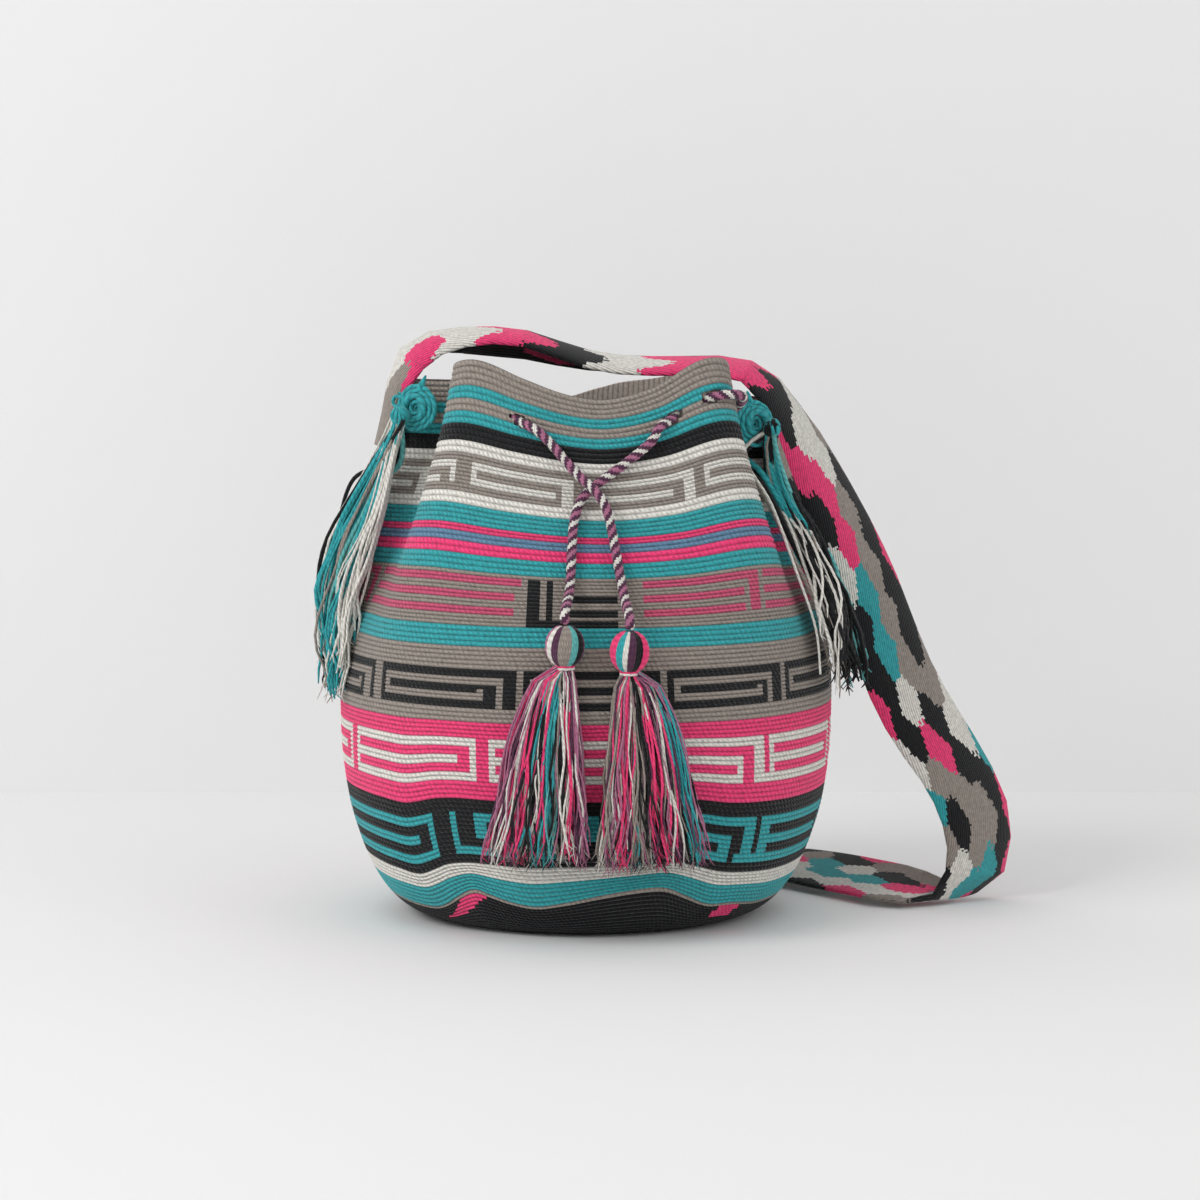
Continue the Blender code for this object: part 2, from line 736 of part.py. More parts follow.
def rosette_place(rows, seat, from_start):
    """Moves points of a flat rosette onto the strap's outer side near one of its ends."""
    from_end, across, slide = seat
    step = (Vector(rows[1][:3]) - Vector(rows[0][:3])).length
    position = from_end / step if from_start else len(rows) - 1 - from_end / step
    low = on_strap(rows, position, across, STRAP_THICKNESS / 2)
    facing = (on_strap(rows, position, across, STRAP_THICKNESS) - low).normalized()
    sideways = on_strap(rows, position, across * 1.05, STRAP_THICKNESS / 2) - low
    sideways = (sideways - facing * sideways.dot(facing)).normalized()
    centre = low + facing * (GAP * 2) + sideways * slide

    def place(point):
        return centre + sideways * point.x + facing * point.z + facing.cross(sideways) * point.y

    return place


def add_rosette(name, place, material, collection, helpers):
    """A crocheted disc with a raised ring."""
    disc_size = (ROSETTE_WIDTH, ROSETTE_WIDTH, ROSETTE_HEIGHT)

    def on_disc(point):
        return place(point + Vector((0, 0, ROSETTE_HEIGHT / 2)))

    disc = sphere(name, disc_size, on_disc, collection, 16, 6)
    disc.data.materials.append(material)
    bpy.ops.mesh.primitive_torus_add(
        major_segments=14,
        minor_segments=5,
        major_radius=(RING_WIDTH - RING_YARN) / 2,
        minor_radius=RING_YARN / 2,
    )
    ring = bpy.context.object
    ring.name = name + "_ring"
    for other in list(ring.users_collection):
        other.objects.unlink(ring)
    helpers.objects.link(ring)
    for vertex in ring.data.vertices:
        vertex.co = place(vertex.co + Vector((0, 0, ROSETTE_HEIGHT * 0.8)))
    fuse(disc, [ring])


def side_lock(seat, lock):
    """Points and radii of one lock of a side tassel, down the front of a gusset's tip."""
    tip, facing, top, top_turn, shift, hem_off = seat
    turn, outset, length = lock
    steps = 7
    points, radii = [], []
    for k in range(steps + 1):
        t = k / steps
        swing = math.sin(math.pi * min(1.0, t * 1.15)) ** 0.7
        share = top - SIDE_TASSEL_LENGTH * length * t / BAG_HEIGHT
        radius = SIDE_LOCK / 2 * (0.75 + 0.5 * math.sin(math.pi * t))
        off = WALL_CLEARANCE + radius + outset * swing + SIDE_START * (1 - t) + hem_off * t
        degrees = tip + facing * (top_turn + (turn + shift - top_turn) * t**0.8)
        points.append(off_wall(degrees, share, off))
        radii.append(radius)
    return points, radii


def add_side_tassel(name, seat, material, collection, helpers):
    tubes = []
    for number, lock in enumerate(SIDE_LOCKS, 1):
        points, radii = side_lock(seat, lock)
        tubes.append(poly_tube(f"{name}_lock_{number}", points, radii, 1, helpers))
    locks = [mesh_of(tube) for tube in tubes]
    knot_size = (SIDE_LOCK * 1.7, SIDE_LOCK * 1.7, SIDE_LOCK * 1.7)
    centre = Vector(side_lock(seat, SIDE_LOCKS[0])[0][0])
    knot = sphere(name, knot_size, lambda point: point + centre, collection, 10, 6)
    knot.data.materials.append(material)
    fuse(knot, locks)


def main():
    clear_scene()
    parts = make_collection(COLLECTION)
    cutters = make_collection("slot_cutters")
    helpers = make_collection("helpers")
    add_body(parts, cutters)
    rows = strap_rows()
    add_strap(parts, rows)
    add_drawstring(parts)
    yarn = make_material("tassel_yarn", (0.75, 0.30, 0.42), 0.9)
    add_tassel("tassel_left", LEFT_TASSEL, yarn, parts, helpers)
    add_tassel("tassel_right", RIGHT_TASSEL, yarn, parts, helpers)
    crochet = make_material("rosette_crochet", (0.03, 0.35, 0.37), 0.85)
    left_place = rosette_place(rows, LEFT_ROSETTE, True)
    right_place = rosette_place(rows, RIGHT_ROSETTE, False)
    add_rosette("rosette_left", left_place, crochet, parts, helpers)
    add_rosette("rosette_right", right_place, crochet, parts, helpers)
    side_yarn = make_material("side_yarn", (0.05, 0.15, 0.16), 0.9)
    add_side_tassel("side_tassel_left", LEFT_SIDE, side_yarn, parts, helpers)
    add_side_tassel("side_tassel_right", RIGHT_SIDE, side_yarn, parts, helpers)


if __name__ == "__main__":
    main()
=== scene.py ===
"""Wayuu bag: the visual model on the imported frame, laid out as a Blender add-on.

Metres, +Z up, the front towards -Y. The sizes and tables of the bag's form are those of the part,
but for the drawstring's two front eyelets and its two ends, which lie up to 12 mm from the part's.
"""

import math
import random

import bpy
import numpy as np
from bpy.props import FloatProperty, FloatVectorProperty, IntProperty, PointerProperty
from bpy.types import Operator, Panel, PropertyGroup
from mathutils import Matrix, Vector


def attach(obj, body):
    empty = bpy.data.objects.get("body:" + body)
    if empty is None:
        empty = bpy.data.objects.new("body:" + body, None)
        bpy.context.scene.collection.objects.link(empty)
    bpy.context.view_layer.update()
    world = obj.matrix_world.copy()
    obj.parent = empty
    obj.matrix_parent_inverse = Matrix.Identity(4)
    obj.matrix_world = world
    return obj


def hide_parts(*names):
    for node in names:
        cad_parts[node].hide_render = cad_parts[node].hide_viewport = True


bl_info = {
    "name": "Wayuu Bag",
    "version": (1, 0, 0),
    "blender": (4, 5, 0),
    "location": "3D View > Sidebar > Wayuu Bag",
    "description": "Builds a crocheted bag with a woven strap, a drawstring and yarn tassels",
    "category": "Object",
}

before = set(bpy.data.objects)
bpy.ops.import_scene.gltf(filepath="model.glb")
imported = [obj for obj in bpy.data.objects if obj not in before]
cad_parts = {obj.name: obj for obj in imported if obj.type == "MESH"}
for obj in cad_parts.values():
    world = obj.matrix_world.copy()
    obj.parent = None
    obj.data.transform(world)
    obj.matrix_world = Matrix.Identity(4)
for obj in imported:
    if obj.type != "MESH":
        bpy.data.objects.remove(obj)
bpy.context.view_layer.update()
ROOT = "root"

# Sizes of the part
BAG_HEIGHT = 0.300
BAG_WIDTH = 0.274
BAG_DEPTH = 0.262
BASE_DIAMETER = 0.170
MOUTH_WIDTH = 0.214
MOUTH_DEPTH = 0.138
WALL = 0.003
FOLD_DEPTH = 0.044
FOOT_BULGE = 0.006
STRAP_WIDTH = 0.046
STRAP_THICKNESS = 0.0045
STRAP_STEPS = 66
CORD_DIAMETER = 0.0052
SLOT_LENGTH = 0.0200
SLOT_HEIGHT = 0.0084
SLOT_REACH = 0.0080
HEAD_WIDTH = 0.021
HEAD_HEIGHT = 0.022
SKIRT_LENGTH = 0.103
LOCK_HEM = 0.0115
SIDE_TASSEL_LENGTH = 0.130
SIDE_LOCK = 0.0075
GAP = 0.0003
WALL_CLEARANCE = 0.0014
SEAT_CLEARANCE = 0.0020
CORD_END_GAP = 0.0018
SIDE_START = 0.006
SIDE_RISE = 0.010
LEFT_SOURCE = (-0.1016, -0.0340, 0.2781)
RIGHT_SOURCE = (0.1020, -0.0340, 0.2715)

# Profile of the foot: height share, growth of the half width and of the half depth
FOOT = (
    (0.000, 0.00, 0.00),
    (0.015, 0.27, 0.29),
    (0.047, 0.49, 0.50),
    (0.093, 0.66, 0.69),
    (0.147, 0.79, 0.83),
    (0.213, 0.90, 0.95),
    (0.310, 0.98, 1.00),
    (0.417, 1.00, 0.97),
)

# Profile of the neck: height share, narrowing of the half width and of the half depth, squareness
NECK = (
    (0.417, 0.00, 0.03, 2.0),
    (0.533, 0.06, 0.18, 2.1),
    (0.667, 0.26, 0.40, 2.3),
    (0.800, 0.58, 0.66, 2.5),
    (0.900, 0.81, 0.85, 2.7),
    (1.000, 1.00, 1.00, 3.0),
    (1.060, 1.04, 1.05, 3.0),
)

# Gusset folds: degrees round from +X, spread on the tip's side and the panel's side, depth share
FOLDS = (
    (199, 7.5, 9.5, 1.0),
    (162, 7.5, 9.5, 1.0),
    (345, 7.5, 9.5, 1.0),
    (16, 7.5, 9.5, 1.0),
)
FOLD_FADE = ((0.44, 0.0), (0.54, 0.13), (0.66, 0.45), (0.78, 0.72), (0.90, 0.92), (1.00, 1.0))

# Bulges and dents round the foot: degrees round, spread, outset share
BULGES = ((219, 13, 1.0), (237, 12, -1.0), (297, 13, -0.85), (315, 13, 1.0), (60, 18, 0.6))
BULGE_FADE = ((0.00, 0.0), (0.08, 0.8), (0.14, 1.0), (0.24, 0.6), (0.38, 0.0))

# The rim: degrees round, height share
RIM = (
    (0, 0.955),
    (16, 0.965),
    (38, 1.005),
    (59, 0.982),
    (75, 0.972),
    (84, 0.962),
    (106, 0.942),
    (140, 0.995),
    (162, 0.985),
    (180, 0.990),
    (199, 0.990),
    (217, 1.026),
    (227, 1.033),
    (244, 1.000),
    (262, 0.972),
    (279, 0.963),
    (298, 0.985),
    (316, 1.034),
    (326, 1.030),
    (345, 0.960),
)
RIM_FADE = ((0.55, 0.0), (0.63, 0.16), (0.77, 0.44), (0.90, 0.64), (1.00, 1.0))

# How far the rounds of crochet sag at the foot, in shares of the height: degrees round, at the
# thin line over the base, at the top of the pale band; and how it fades above that band. In front
# they follow points picked on the photo and brought to the wall by a scratch script
SAG = (
    (0, -0.045, -0.036),
    (45, -0.035, -0.030),
    (90, -0.020, -0.020),
    (135, -0.035, -0.030),
    (180, -0.040, -0.028),
    (205, -0.045, -0.026),
    (216, -0.049, -0.031),
    (223, -0.048, -0.037),
    (228, -0.037, -0.025),
    (232, -0.022, -0.013),
    (238, -0.004, -0.007),
    (243, -0.013, -0.007),
    (249, -0.024, -0.008),
    (256, -0.030, -0.008),
    (264, -0.021, -0.005),
    (274, -0.006, -0.004),
    (284, 0.004, -0.003),
    (292, 0.004, -0.001),
    (298, -0.012, -0.008),
    (306, -0.034, -0.024),
    (314, -0.036, -0.030),
    (328, -0.046, -0.034),
)
SAG_SHARES = (0.092, 0.146)
SAG_FADE = ((0.146, 1.0), (0.26, 0.6), (0.42, 0.0))

# Strap route: shares of width, depth and height, direction of the outer edge, half angle
STRAP_ROUTE = (
    (-0.364, 0.015, 1.045, -0.25, 0.96, 0.10, 56),
    (-0.305, 0.025, 1.073, -0.12, 0.97, 0.00, 60),
    (-0.212, 0.038, 1.077, 0.00, 0.97, -0.20, 60),
    (-0.131, 0.038, 1.072, 0.00, 0.97, -0.22, 58),
    (-0.051, 0.034, 1.050, 0.05, 0.98, -0.16, 50),
    (0.029, 0.026, 1.030, 0.05, 0.99, -0.05, 44),
    (0.109, 0.015, 1.024, 0.05, 0.99, 0.00, 40),
    (0.208, 0.008, 1.024, 0.05, 0.99, 0.02, 38),
    (0.292, 0.006, 1.024, 0.08, 0.98, 0.05, 38),
    (0.342, 0.004, 1.012, 0.12, 0.97, 0.08, 40),
    (0.377, 0.004, 0.990, 0.20, 0.95, 0.12, 42),
    (0.404, 0.004, 0.957, 0.30, 0.92, 0.18, 42),
    (0.431, 0.000, 0.910, 0.42, 0.86, 0.25, 40),
    (0.456, -0.004, 0.865, 0.54, 0.78, 0.29, 37),
    (0.482, -0.010, 0.808, 0.64, 0.70, 0.31, 34),
    (0.527, -0.007, 0.721, 0.70, 0.64, 0.30, 28),
    (0.576, -0.008, 0.608, 0.78, 0.54, 0.32, 22),
    (0.621, -0.002, 0.495, 0.79, 0.50, 0.33, 20),
    (0.658, 0.002, 0.413, 0.78, 0.45, 0.43, 20),
    (0.697, 0.009, 0.350, 0.73, 0.43, 0.52, 20),
    (0.733, 0.025, 0.302, 0.68, 0.48, 0.55, 20),
    (0.765, 0.037, 0.257, 0.72, 0.52, 0.46, 20),
    (0.794, 0.042, 0.205, 0.79, 0.50, 0.34, 20),
    (0.814, 0.046, 0.151, 0.85, 0.48, 0.18, 20),
    (0.819, 0.056, 0.088, 0.82, 0.57, 0.00, 20),
    (0.805, 0.063, 0.042, 0.76, 0.63, -0.12, 16),
    (0.776, 0.057, 0.019, 0.68, 0.73, -0.04, 8),
    (0.743, 0.045, 0.014, 0.64, 0.76, 0.00, 4),
    (0.706, 0.032, 0.018, 0.68, 0.73, 0.10, 4),
    (0.666, 0.042, 0.026, 0.73, 0.65, 0.20, 4),
    (0.628, 0.082, 0.031, 0.78, 0.58, 0.25, 5),
    (0.595, 0.132, 0.031, 0.80, 0.55, 0.26, 5),
    (0.500, 0.260, 0.031, 0.80, 0.55, 0.26, 5),
    (0.401, 0.420, 0.028, 0.82, 0.55, 0.15, 5),
    (0.310, 0.546, 0.022, 0.86, 0.50, 0.00, 5),
    (0.228, 0.634, 0.048, 0.91, 0.41, 0.00, 8),
    (0.190, 0.656, 0.150, 0.97, 0.20, 0.06, 10),
    (0.201, 0.630, 0.283, 0.99, 0.00, -0.08, 12),
    (0.248, 0.553, 0.417, 0.93, -0.12, -0.33, 12),
    (0.321, 0.439, 0.527, 0.73, -0.15, -0.67, 12),
    (0.394, 0.298, 0.600, 0.48, -0.35, -0.80, 14),
    (0.449, 0.160, 0.660, 0.18, -0.62, -0.76, 18),
    (0.481, 0.066, 0.735, 0.03, -0.88, -0.47, 26),
)
LEFT_SEAT = ((0.870, 56), (0.925, 62), (0.975, 64), (1.012, 60))
RIGHT_SEAT = ((0.825, 40), (0.880, 50), (0.930, 58), (0.972, 60))
LEFT_TIP = 180
RIGHT_TIP = 360

# Holes of the drawstring: degrees round, height share, way round that leads outside, drop. The
# two eyelets lie 4.5 and 5.4 mm from the part's
LEFT_EYELET = (245.5, 0.925, 1, 0.010)
BACK_LEFT_HOLES = ((121.0, 0.925, -1, 0.0), (104.0, 0.922, 1, 0.0))
BACK_RIGHT_HOLES = ((74.0, 0.930, -1, 0.0), (51.5, 0.935, 1, 0.0))
CREST_HOLES = ((336.0, 0.940, -1, 0.0), (317.0, 0.940, 1, 0.0))
CREST = (326.5, 0.940, 1.25)
RIGHT_EYELET = (302.5, 0.932, -1, 0.010)
CORD_GUSSET_X = 0.183
CORD_GUSSET_Y = 0.130

# Drawstring in front of the wall: shares of width and height, distance off in cord diameters.
# Points picked on the photo and brought to the wall by a scratch script, not the part's own
LEFT_END = (
    (-0.070, 0.889, 0.10),
    (-0.040, 0.858, 0.20),
    (-0.010, 0.829, 0.60),
    (0.019, 0.806, 1.15),
    (0.040, 0.777, 1.00),
    (0.052, 0.735, 0.45),
    (0.062, 0.685, 0.20),
    (0.075, 0.625, 0.30),
)
RIGHT_END = (
    (0.128, 0.889, 0.10),
    (0.087, 0.858, 0.10),
    (0.048, 0.832, 0.05),
    (0.018, 0.812, 0.02),
    (-0.008, 0.788, 0.02),
    (-0.022, 0.750, 0.10),
    (-0.026, 0.700, 0.15),
    (-0.030, 0.634, 0.30),
)
LEFT_TASSEL = (-0.0387, 0.540, 0.057, -0.0150)
RIGHT_TASSEL = (0.0854, 0.530, 0.060, 0.0120)

# Side tassels: tip, way round to the front, height share and degrees of the knot, shift, hem off
LEFT_SIDE = (LEFT_TIP, 1, 0.840, 9, 0, 0.000)
RIGHT_SIDE = (RIGHT_TIP, -1, 0.865, 18, 8, 0.011)
LEFT_ROSETTE = (0.026, -0.95, 0.011)
RIGHT_ROSETTE = (0.004, 0.90, 0.009)

# Colours of the yarn, and the letters that stand for them in the charts
LETTERS = "KPWTGLBMRD"
PALETTE = {
    "K": ("Black", (0.0065, 0.0070, 0.0085)),
    "P": ("Pink", (0.930, 0.055, 0.205)),
    "W": ("White", (0.800, 0.775, 0.715)),
    "T": ("Teal", (0.035, 0.385, 0.415)),
    "G": ("Taupe", (0.330, 0.285, 0.250)),
    "L": ("Light teal", (0.130, 0.480, 0.470)),
    "B": ("Blue teal", (0.130, 0.260, 0.400)),
    "M": ("Plum", (0.095, 0.030, 0.070)),
    "R": ("Dusty rose", (0.450, 0.160, 0.270)),
    "D": ("Muted pink", (0.640, 0.090, 0.190)),
}

# Bands of the bag from the foot up: rounds, height share of the upper border, ground colour and
# the chart of strokes that lies on it
BANDS = (
    (15, 0.084, "K", "patches"),
    (1, 0.092, "G", ""),
    (5, 0.124, "T", ""),
    (4, 0.146, "W", ""),
    (2, 0.162, "K", ""),
    (10, 0.240, "K", "teal_key"),
    (3, 0.264, "K", ""),
    (4, 0.296, "P", ""),
    (10, 0.372, "P", "white_key"),
    (4, 0.400, "P", ""),
    (3, 0.424, "G", ""),
    (10, 0.492, "K", "taupe_key"),
    (5, 0.532, "G", ""),
    (4, 0.568, "T", ""),
    (14, 0.660, "G", "bars"),
    (3, 0.688, "T", ""),
    (2, 0.708, "P", ""),
    (2, 0.724, "B", ""),
    (2, 0.736, "P", ""),
    (4, 0.768, "T", ""),
    (2, 0.788, "W", ""),
    (10, 0.852, "G", "light_key"),
    (2, 0.872, "W", ""),
    (3, 0.900, "K", ""),
    (2, 0.920, "T", ""),
    (2, 0.940, "G", ""),
    (2, 0.960, "T", ""),
    (4, 1.000, "G", ""),
)

# Strokes of each chart: from and to as shares of a unit, first and last round of the band
CLOSED_KEY = (
    (0.00, 0.055, 0, 9),
    (0.00, 0.93, 8, 9),
    (0.00, 0.80, 4, 5),
    (0.00, 0.93, 0, 1),
    (0.875, 0.93, 0, 9),
)
OPEN_KEY = (
    (0.00, 0.055, 0, 9),
    (0.00, 0.80, 0, 1),
    (0.19, 0.25, 4, 9),
    (0.19, 0.94, 8, 9),
    (0.88, 0.94, 4, 9),
)
HOOKED_KEY = (
    (0.00, 0.93, 8, 9),
    (0.875, 0.935, 0, 9),
    (0.00, 0.77, 4, 5),
    (0.70, 0.77, 0, 5),
    (0.00, 0.72, 0, 1),
    (0.84, 1.00, 0, 1),
)
STROKES = {
    "light_key": (
        (0.00, 0.065, 2, 7),
        (0.00, 0.88, 6, 7),
        (0.00, 0.73, 2, 3),
        (0.80, 0.88, 0, 7),
    ),
    "short_key": (
        (0.00, 0.065, 2, 7),
        (0.00, 0.88, 6, 7),
        (0.00, 0.73, 2, 3),
        (0.80, 0.88, 2, 7),
    ),
    "taupe_key": (
        (0.00, 0.065, 0, 9),
        (0.115, 0.145, 2, 7),
        (0.115, 0.93, 6, 7),
        (0.88, 0.93, 0, 7),
        (0.115, 0.80, 2, 3),
        (0.77, 0.80, 2, 4),
    ),
    "closed": CLOSED_KEY,
    "open": OPEN_KEY,
    "hooked": HOOKED_KEY,
}

# Where the units of each chart begin, as shares of the way round from the middle of the front,
# with the strokes of each. The last one's end is where the evenly filled back begins. The places
# were picked on the photo and brought to the wall by a scratch script
LIGHT_UNITS = (
    (-0.1812, "short_key"),
    (-0.0895, "light_key"),
    (0.0022, "light_key"),
    (0.0939, "light_key"),
)
TAUPE_UNITS = (
    (-0.1601, "taupe_key"),
    (-0.0454, "taupe_key"),
    (0.0480, "taupe_key"),
    (0.1417, "taupe_key"),
)
WHITE_UNITS = ((-0.1849, "closed"), (-0.0611, "closed"), (0.0345, "hooked"), (0.1302, "closed"))
TEAL_UNITS = ((-0.2290, "closed"), (-0.0958, "open"), (0.0151, "hooked"), (0.1260, "closed"))
CHARTS = {
    "light_key": ("W", LIGHT_UNITS, 11),
    "taupe_key": ("G", TAUPE_UNITS, 10),
    "white_key": ("W", WHITE_UNITS, 10),
    "teal_key": ("T", TEAL_UNITS, 9),
}

# The middle band: from and to as shares of the way round, first and last round, colour
BAR_TURNS = 3
BARS = (
    (-0.0385, -0.0320, 0, 12, "K"),
    (-0.0268, -0.0204, 0, 12, "K"),
    (-0.0385, 0.0242, 0, 1, "K"),
    (-0.0127, 0.0229, 3, 4, "K"),
    (-0.0127, 0.0229, 7, 8, "K"),
    (0.0411, 0.1230, 11, 12, "D"),
    (0.0411, 0.1180, 7, 8, "D"),
    (0.0411, 0.1170, 3, 4, "D"),
    (0.1220, 0.1285, 3, 12, "D"),
    (0.1330, 0.2896, 11, 12, "D"),
    (0.1330, 0.2860, 7, 8, "D"),
    (0.1330, 0.2860, 3, 4, "D"),
)

# Pink patches at the base's edge: from and to round at the upper border, slant in shares a round
PATCHES = ((-0.1050, -0.0790, -0.0056), (0.1150, 0.1380, -0.0010), (0.4200, 0.4440, -0.0056))
PATCH_ROUNDS = 5

# The strap: length of a lozenge, width and slant of a thread, mesh lanes across, threads from its
# middle to its edge, length of a ridge, and the chart: a row for each lozenge along it, a letter
# for each of its six columns
LOZENGE = 0.032
THREAD = 0.0013
THREAD_SLANT = 0.22
STRAP_LANES = 40
THREADS_TO_EDGE = 17.7
RIDGE_LENGTH = 0.006
STRAP_CHART = (
    "GGGPWK",
    "PPWWPK",
    "WWWPKK",
    "PPPPKK",
    "KKKKPK",
    "WWWGWK",
    "PPPKWK",
    "PPPPPK",
    "KKKWKW",
    "PPWWGG",
    "KKPGKK",
    "KWPGKP",
    "WKTGKK",
    "KKTGKG",
    "PKWKGW",
    "WGPKWT",
    "TKGGKP",
    "GWGTKP",
    "KWTPKK",
    "GWPKGG",
    "PWTWGP",
    "KWTTKK",
    "KGWPGK",
    "WKPGKW",
    "PGKWTP",
    "KTGPKK",
    "TKWGPT",
    "GWKTGK",
    "KPGKWP",
    "PKTWKK",
    "WGKPGW",
    "KTPGKK",
    "TKGWPP",
    "GPKTKK",
    "KWTGWT",
    "PKGPKK",
    "WTKWGP",
    "KGPKTK",
    "GGGGGG",
)

# Locks of yarn in a tassel's skirt, across it from its left: colour, share of its width
LEFT_SKIRT = "RMWRPPKGWTTLGKWPMR"
RIGHT_SKIRT = "GWRPMTGKGKPPWKMKTR"
LEFT_HEAD = "GGMRRWMGGLKMTTGG"
RIGHT_HEAD = "MMPPPPTWMKPPPPMM"
LEFT_SIDE_YARN = "KKWTWTTGLTWTWW"
RIGHT_SIDE_YARN = "TTLKKKKKKKKKGKW"


# Strands of the drawstring's plies and how far one turn of them reaches along it
PLY_COLORS = "MWMR"
PLY_TURN = 0.0112
PLY_DEPTH = 0.28

# Mesh rows in a round of crochet and how far each stands out, rows of the inside, rings of the base
ROUND_ROWS = 3
ROUND_PROFILE = (-0.5, 0.5, 0.5)
INNER_ROWS = 14
BASE_RINGS = (0.66, 0.33, 0.02)

# Rings of a rosette: radius, height, thickness; and the points of the tip of yarn above them
ROSETTE_RINGS = (
    (0.0117, 0.0014, 0.0015),
    (0.0090, 0.0022, 0.0016),
    (0.0063, 0.0038, 0.0019),
    (0.0034, 0.0022, 0.0014),
)
ROSETTE_TIP = (
    (0, 0.010, 0.0015),
    (0.0005, 0.0135, 0.0018),
    (0.001, 0.0165, 0.0012),
    (0.0012, 0.0185, 0.0006),
)

# The stage: camera, wall behind the bag, half width of the floor
CAMERA_PLACE = (0.00785, -2.27, 0.40)
CAMERA_DOWN = 5.7
WALL_Y = 0.44
STAGE_REACH = 6
STAGE_HEIGHT = 5

# Thick strands of the side tassels: colour, radius, then degrees round, height share and distance
# off the wall of each point
LEFT_STRANDS = (
    (
        "K",
        0.0014,
        (
            (8, 0.845, 0.010),
            (3, 0.80, 0.014),
            (-1, 0.72, 0.015),
            (-4, 0.64, 0.016),
            (-5, 0.585, 0.017),
        ),
    ),
    (
        "K",
        0.0012,
        (
            (9, 0.84, 0.008),
            (5, 0.77, 0.013),
            (1, 0.69, 0.015),
            (-2, 0.62, 0.015),
            (-2, 0.57, 0.014),
        ),
    ),
    (
        "L",
        0.0016,
        (
            (10, 0.84, 0.009),
            (7, 0.78, 0.014),
            (5, 0.68, 0.014),
            (4, 0.58, 0.013),
            (3, 0.49, 0.010),
        ),
    ),
)
RIGHT_STRANDS = (
    (
        "K",
        0.0026,
        (
            (18, 0.860, 0.008),
            (19, 0.80, 0.013),
            (18, 0.72, 0.014),
            (16, 0.62, 0.014),
            (15, 0.50, 0.014),
        ),
    ),
    (
        "K",
        0.0022,
        (
            (20, 0.860, 0.006),
            (22, 0.79, 0.010),
            (22, 0.70, 0.011),
            (20, 0.60, 0.012),
            (19, 0.49, 0.012),
        ),
    ),
    (
        "T",
        0.0021,
        (
            (16, 0.865, 0.010),
            (14, 0.82, 0.016),
            (12, 0.74, 0.018),
            (11, 0.65, 0.018),
            (10, 0.58, 0.018),
        ),
    ),
    (
        "W",
        0.0010,
        (
            (24, 0.860, 0.004),
            (27, 0.76, 0.006),
            (27, 0.64, 0.007),
            (25, 0.54, 0.008),
            (26, 0.46, 0.008),
        ),
    ),
    (
        "G",
        0.0014,
        (
            (23, 0.860, 0.004),
            (25, 0.77, 0.006),
            (24, 0.67, 0.008),
            (23, 0.57, 0.010),
            (22, 0.47, 0.010),
        ),
    ),
)


def clamp(value, low, high):
    return max(low, min(high, value))


def smooth(table, x, column=1):
    """The value at x of a smooth curve through one column of a table."""
    last = len(table) - 1
    if x <= table[0][0]:
        return table[0][column]
    if x >= table[last][0]:
        return table[last][column]
    i = max(k for k in range(last) if table[k][0] <= x)
    before, start, end, after = table[max(i - 1, 0)], table[i], table[i + 1], table[min(i + 2, last)]
    span = end[0] - start[0]
    slope_in = (end[column] - before[column]) / (end[0] - before[0]) * span
    slope_out = (after[column] - start[column]) / (after[0] - start[0]) * span
    t = (x - start[0]) / span
    rise = t * t * (3 - 2 * t)
    bend = slope_in * t * (1 - t) ** 2 - slope_out * t * t * (1 - t)
    return start[column] + (end[column] - start[column]) * rise + bend


def round_table(table):
    """A table of rows by degrees, repeated a turn before and after."""
    turns = (-360, 0, 360)
    return tuple((row[0] + turn, *row[1:]) for turn in turns for row in table)


RIM_ROUND = round_table(RIM)
SAG_ROUND = round_table(SAG)


def degrees_apart(a, b):
    return (a - b + 180) % 360 - 180


def outline_sizes(share):
    """Half width, half depth and squareness of the bag's outline at a height share."""
    if share <= FOOT[-1][0]:
        wide, deep = smooth(FOOT, share, 1), smooth(FOOT, share, 2)
        base = BASE_DIAMETER / 2
        return base + (BAG_WIDTH / 2 - base) * wide, base + (BAG_DEPTH / 2 - base) * deep, 2.0
    narrow, shallow = smooth(NECK, share, 1), smooth(NECK, share, 2)
    width = BAG_WIDTH + (MOUTH_WIDTH - BAG_WIDTH) * narrow
    depth = BAG_DEPTH + (MOUTH_DEPTH - BAG_DEPTH) * shallow
    return width / 2, depth / 2, smooth(NECK, share, 3)


def wall_radius(degrees, share):
    """Outer radius of the wall, with its folds, bulges and dents."""
    half_width, half_depth, square = outline_sizes(share)
    angle = math.radians(degrees)
    across = abs(math.cos(angle)) / half_width
    along = abs(math.sin(angle)) / half_depth
    radius = (across**square + along**square) ** (-1 / square)
    folded = smooth(FOLD_FADE, share)
    if folded > 0:
        for centre, tip_spread, panel_spread, depth in FOLDS:
            away = degrees_apart(degrees, centre)
            tip = 0 if degrees_apart(centre, 0) ** 2 < 90**2 else 180
            towards_tip = away * degrees_apart(tip, centre) > 0
            spread = tip_spread if towards_tip else panel_spread
            radius -= FOLD_DEPTH * depth * folded * math.exp(-0.5 * (away / spread) ** 2)
    bulged = smooth(BULGE_FADE, share)
    if bulged > 0:
        for centre, spread, outset in BULGES:
            away = degrees_apart(degrees, centre)
            radius += FOOT_BULGE * outset * bulged * math.exp(-0.5 * (away / spread) ** 2)
    return radius


def wall_height(degrees, share):
    """Height of the point at a share of the way up the wall, whose rim isn't level."""
    lift = smooth(RIM_ROUND, degrees % 360) - 1
    return BAG_HEIGHT * (share + lift * smooth(RIM_FADE, share))


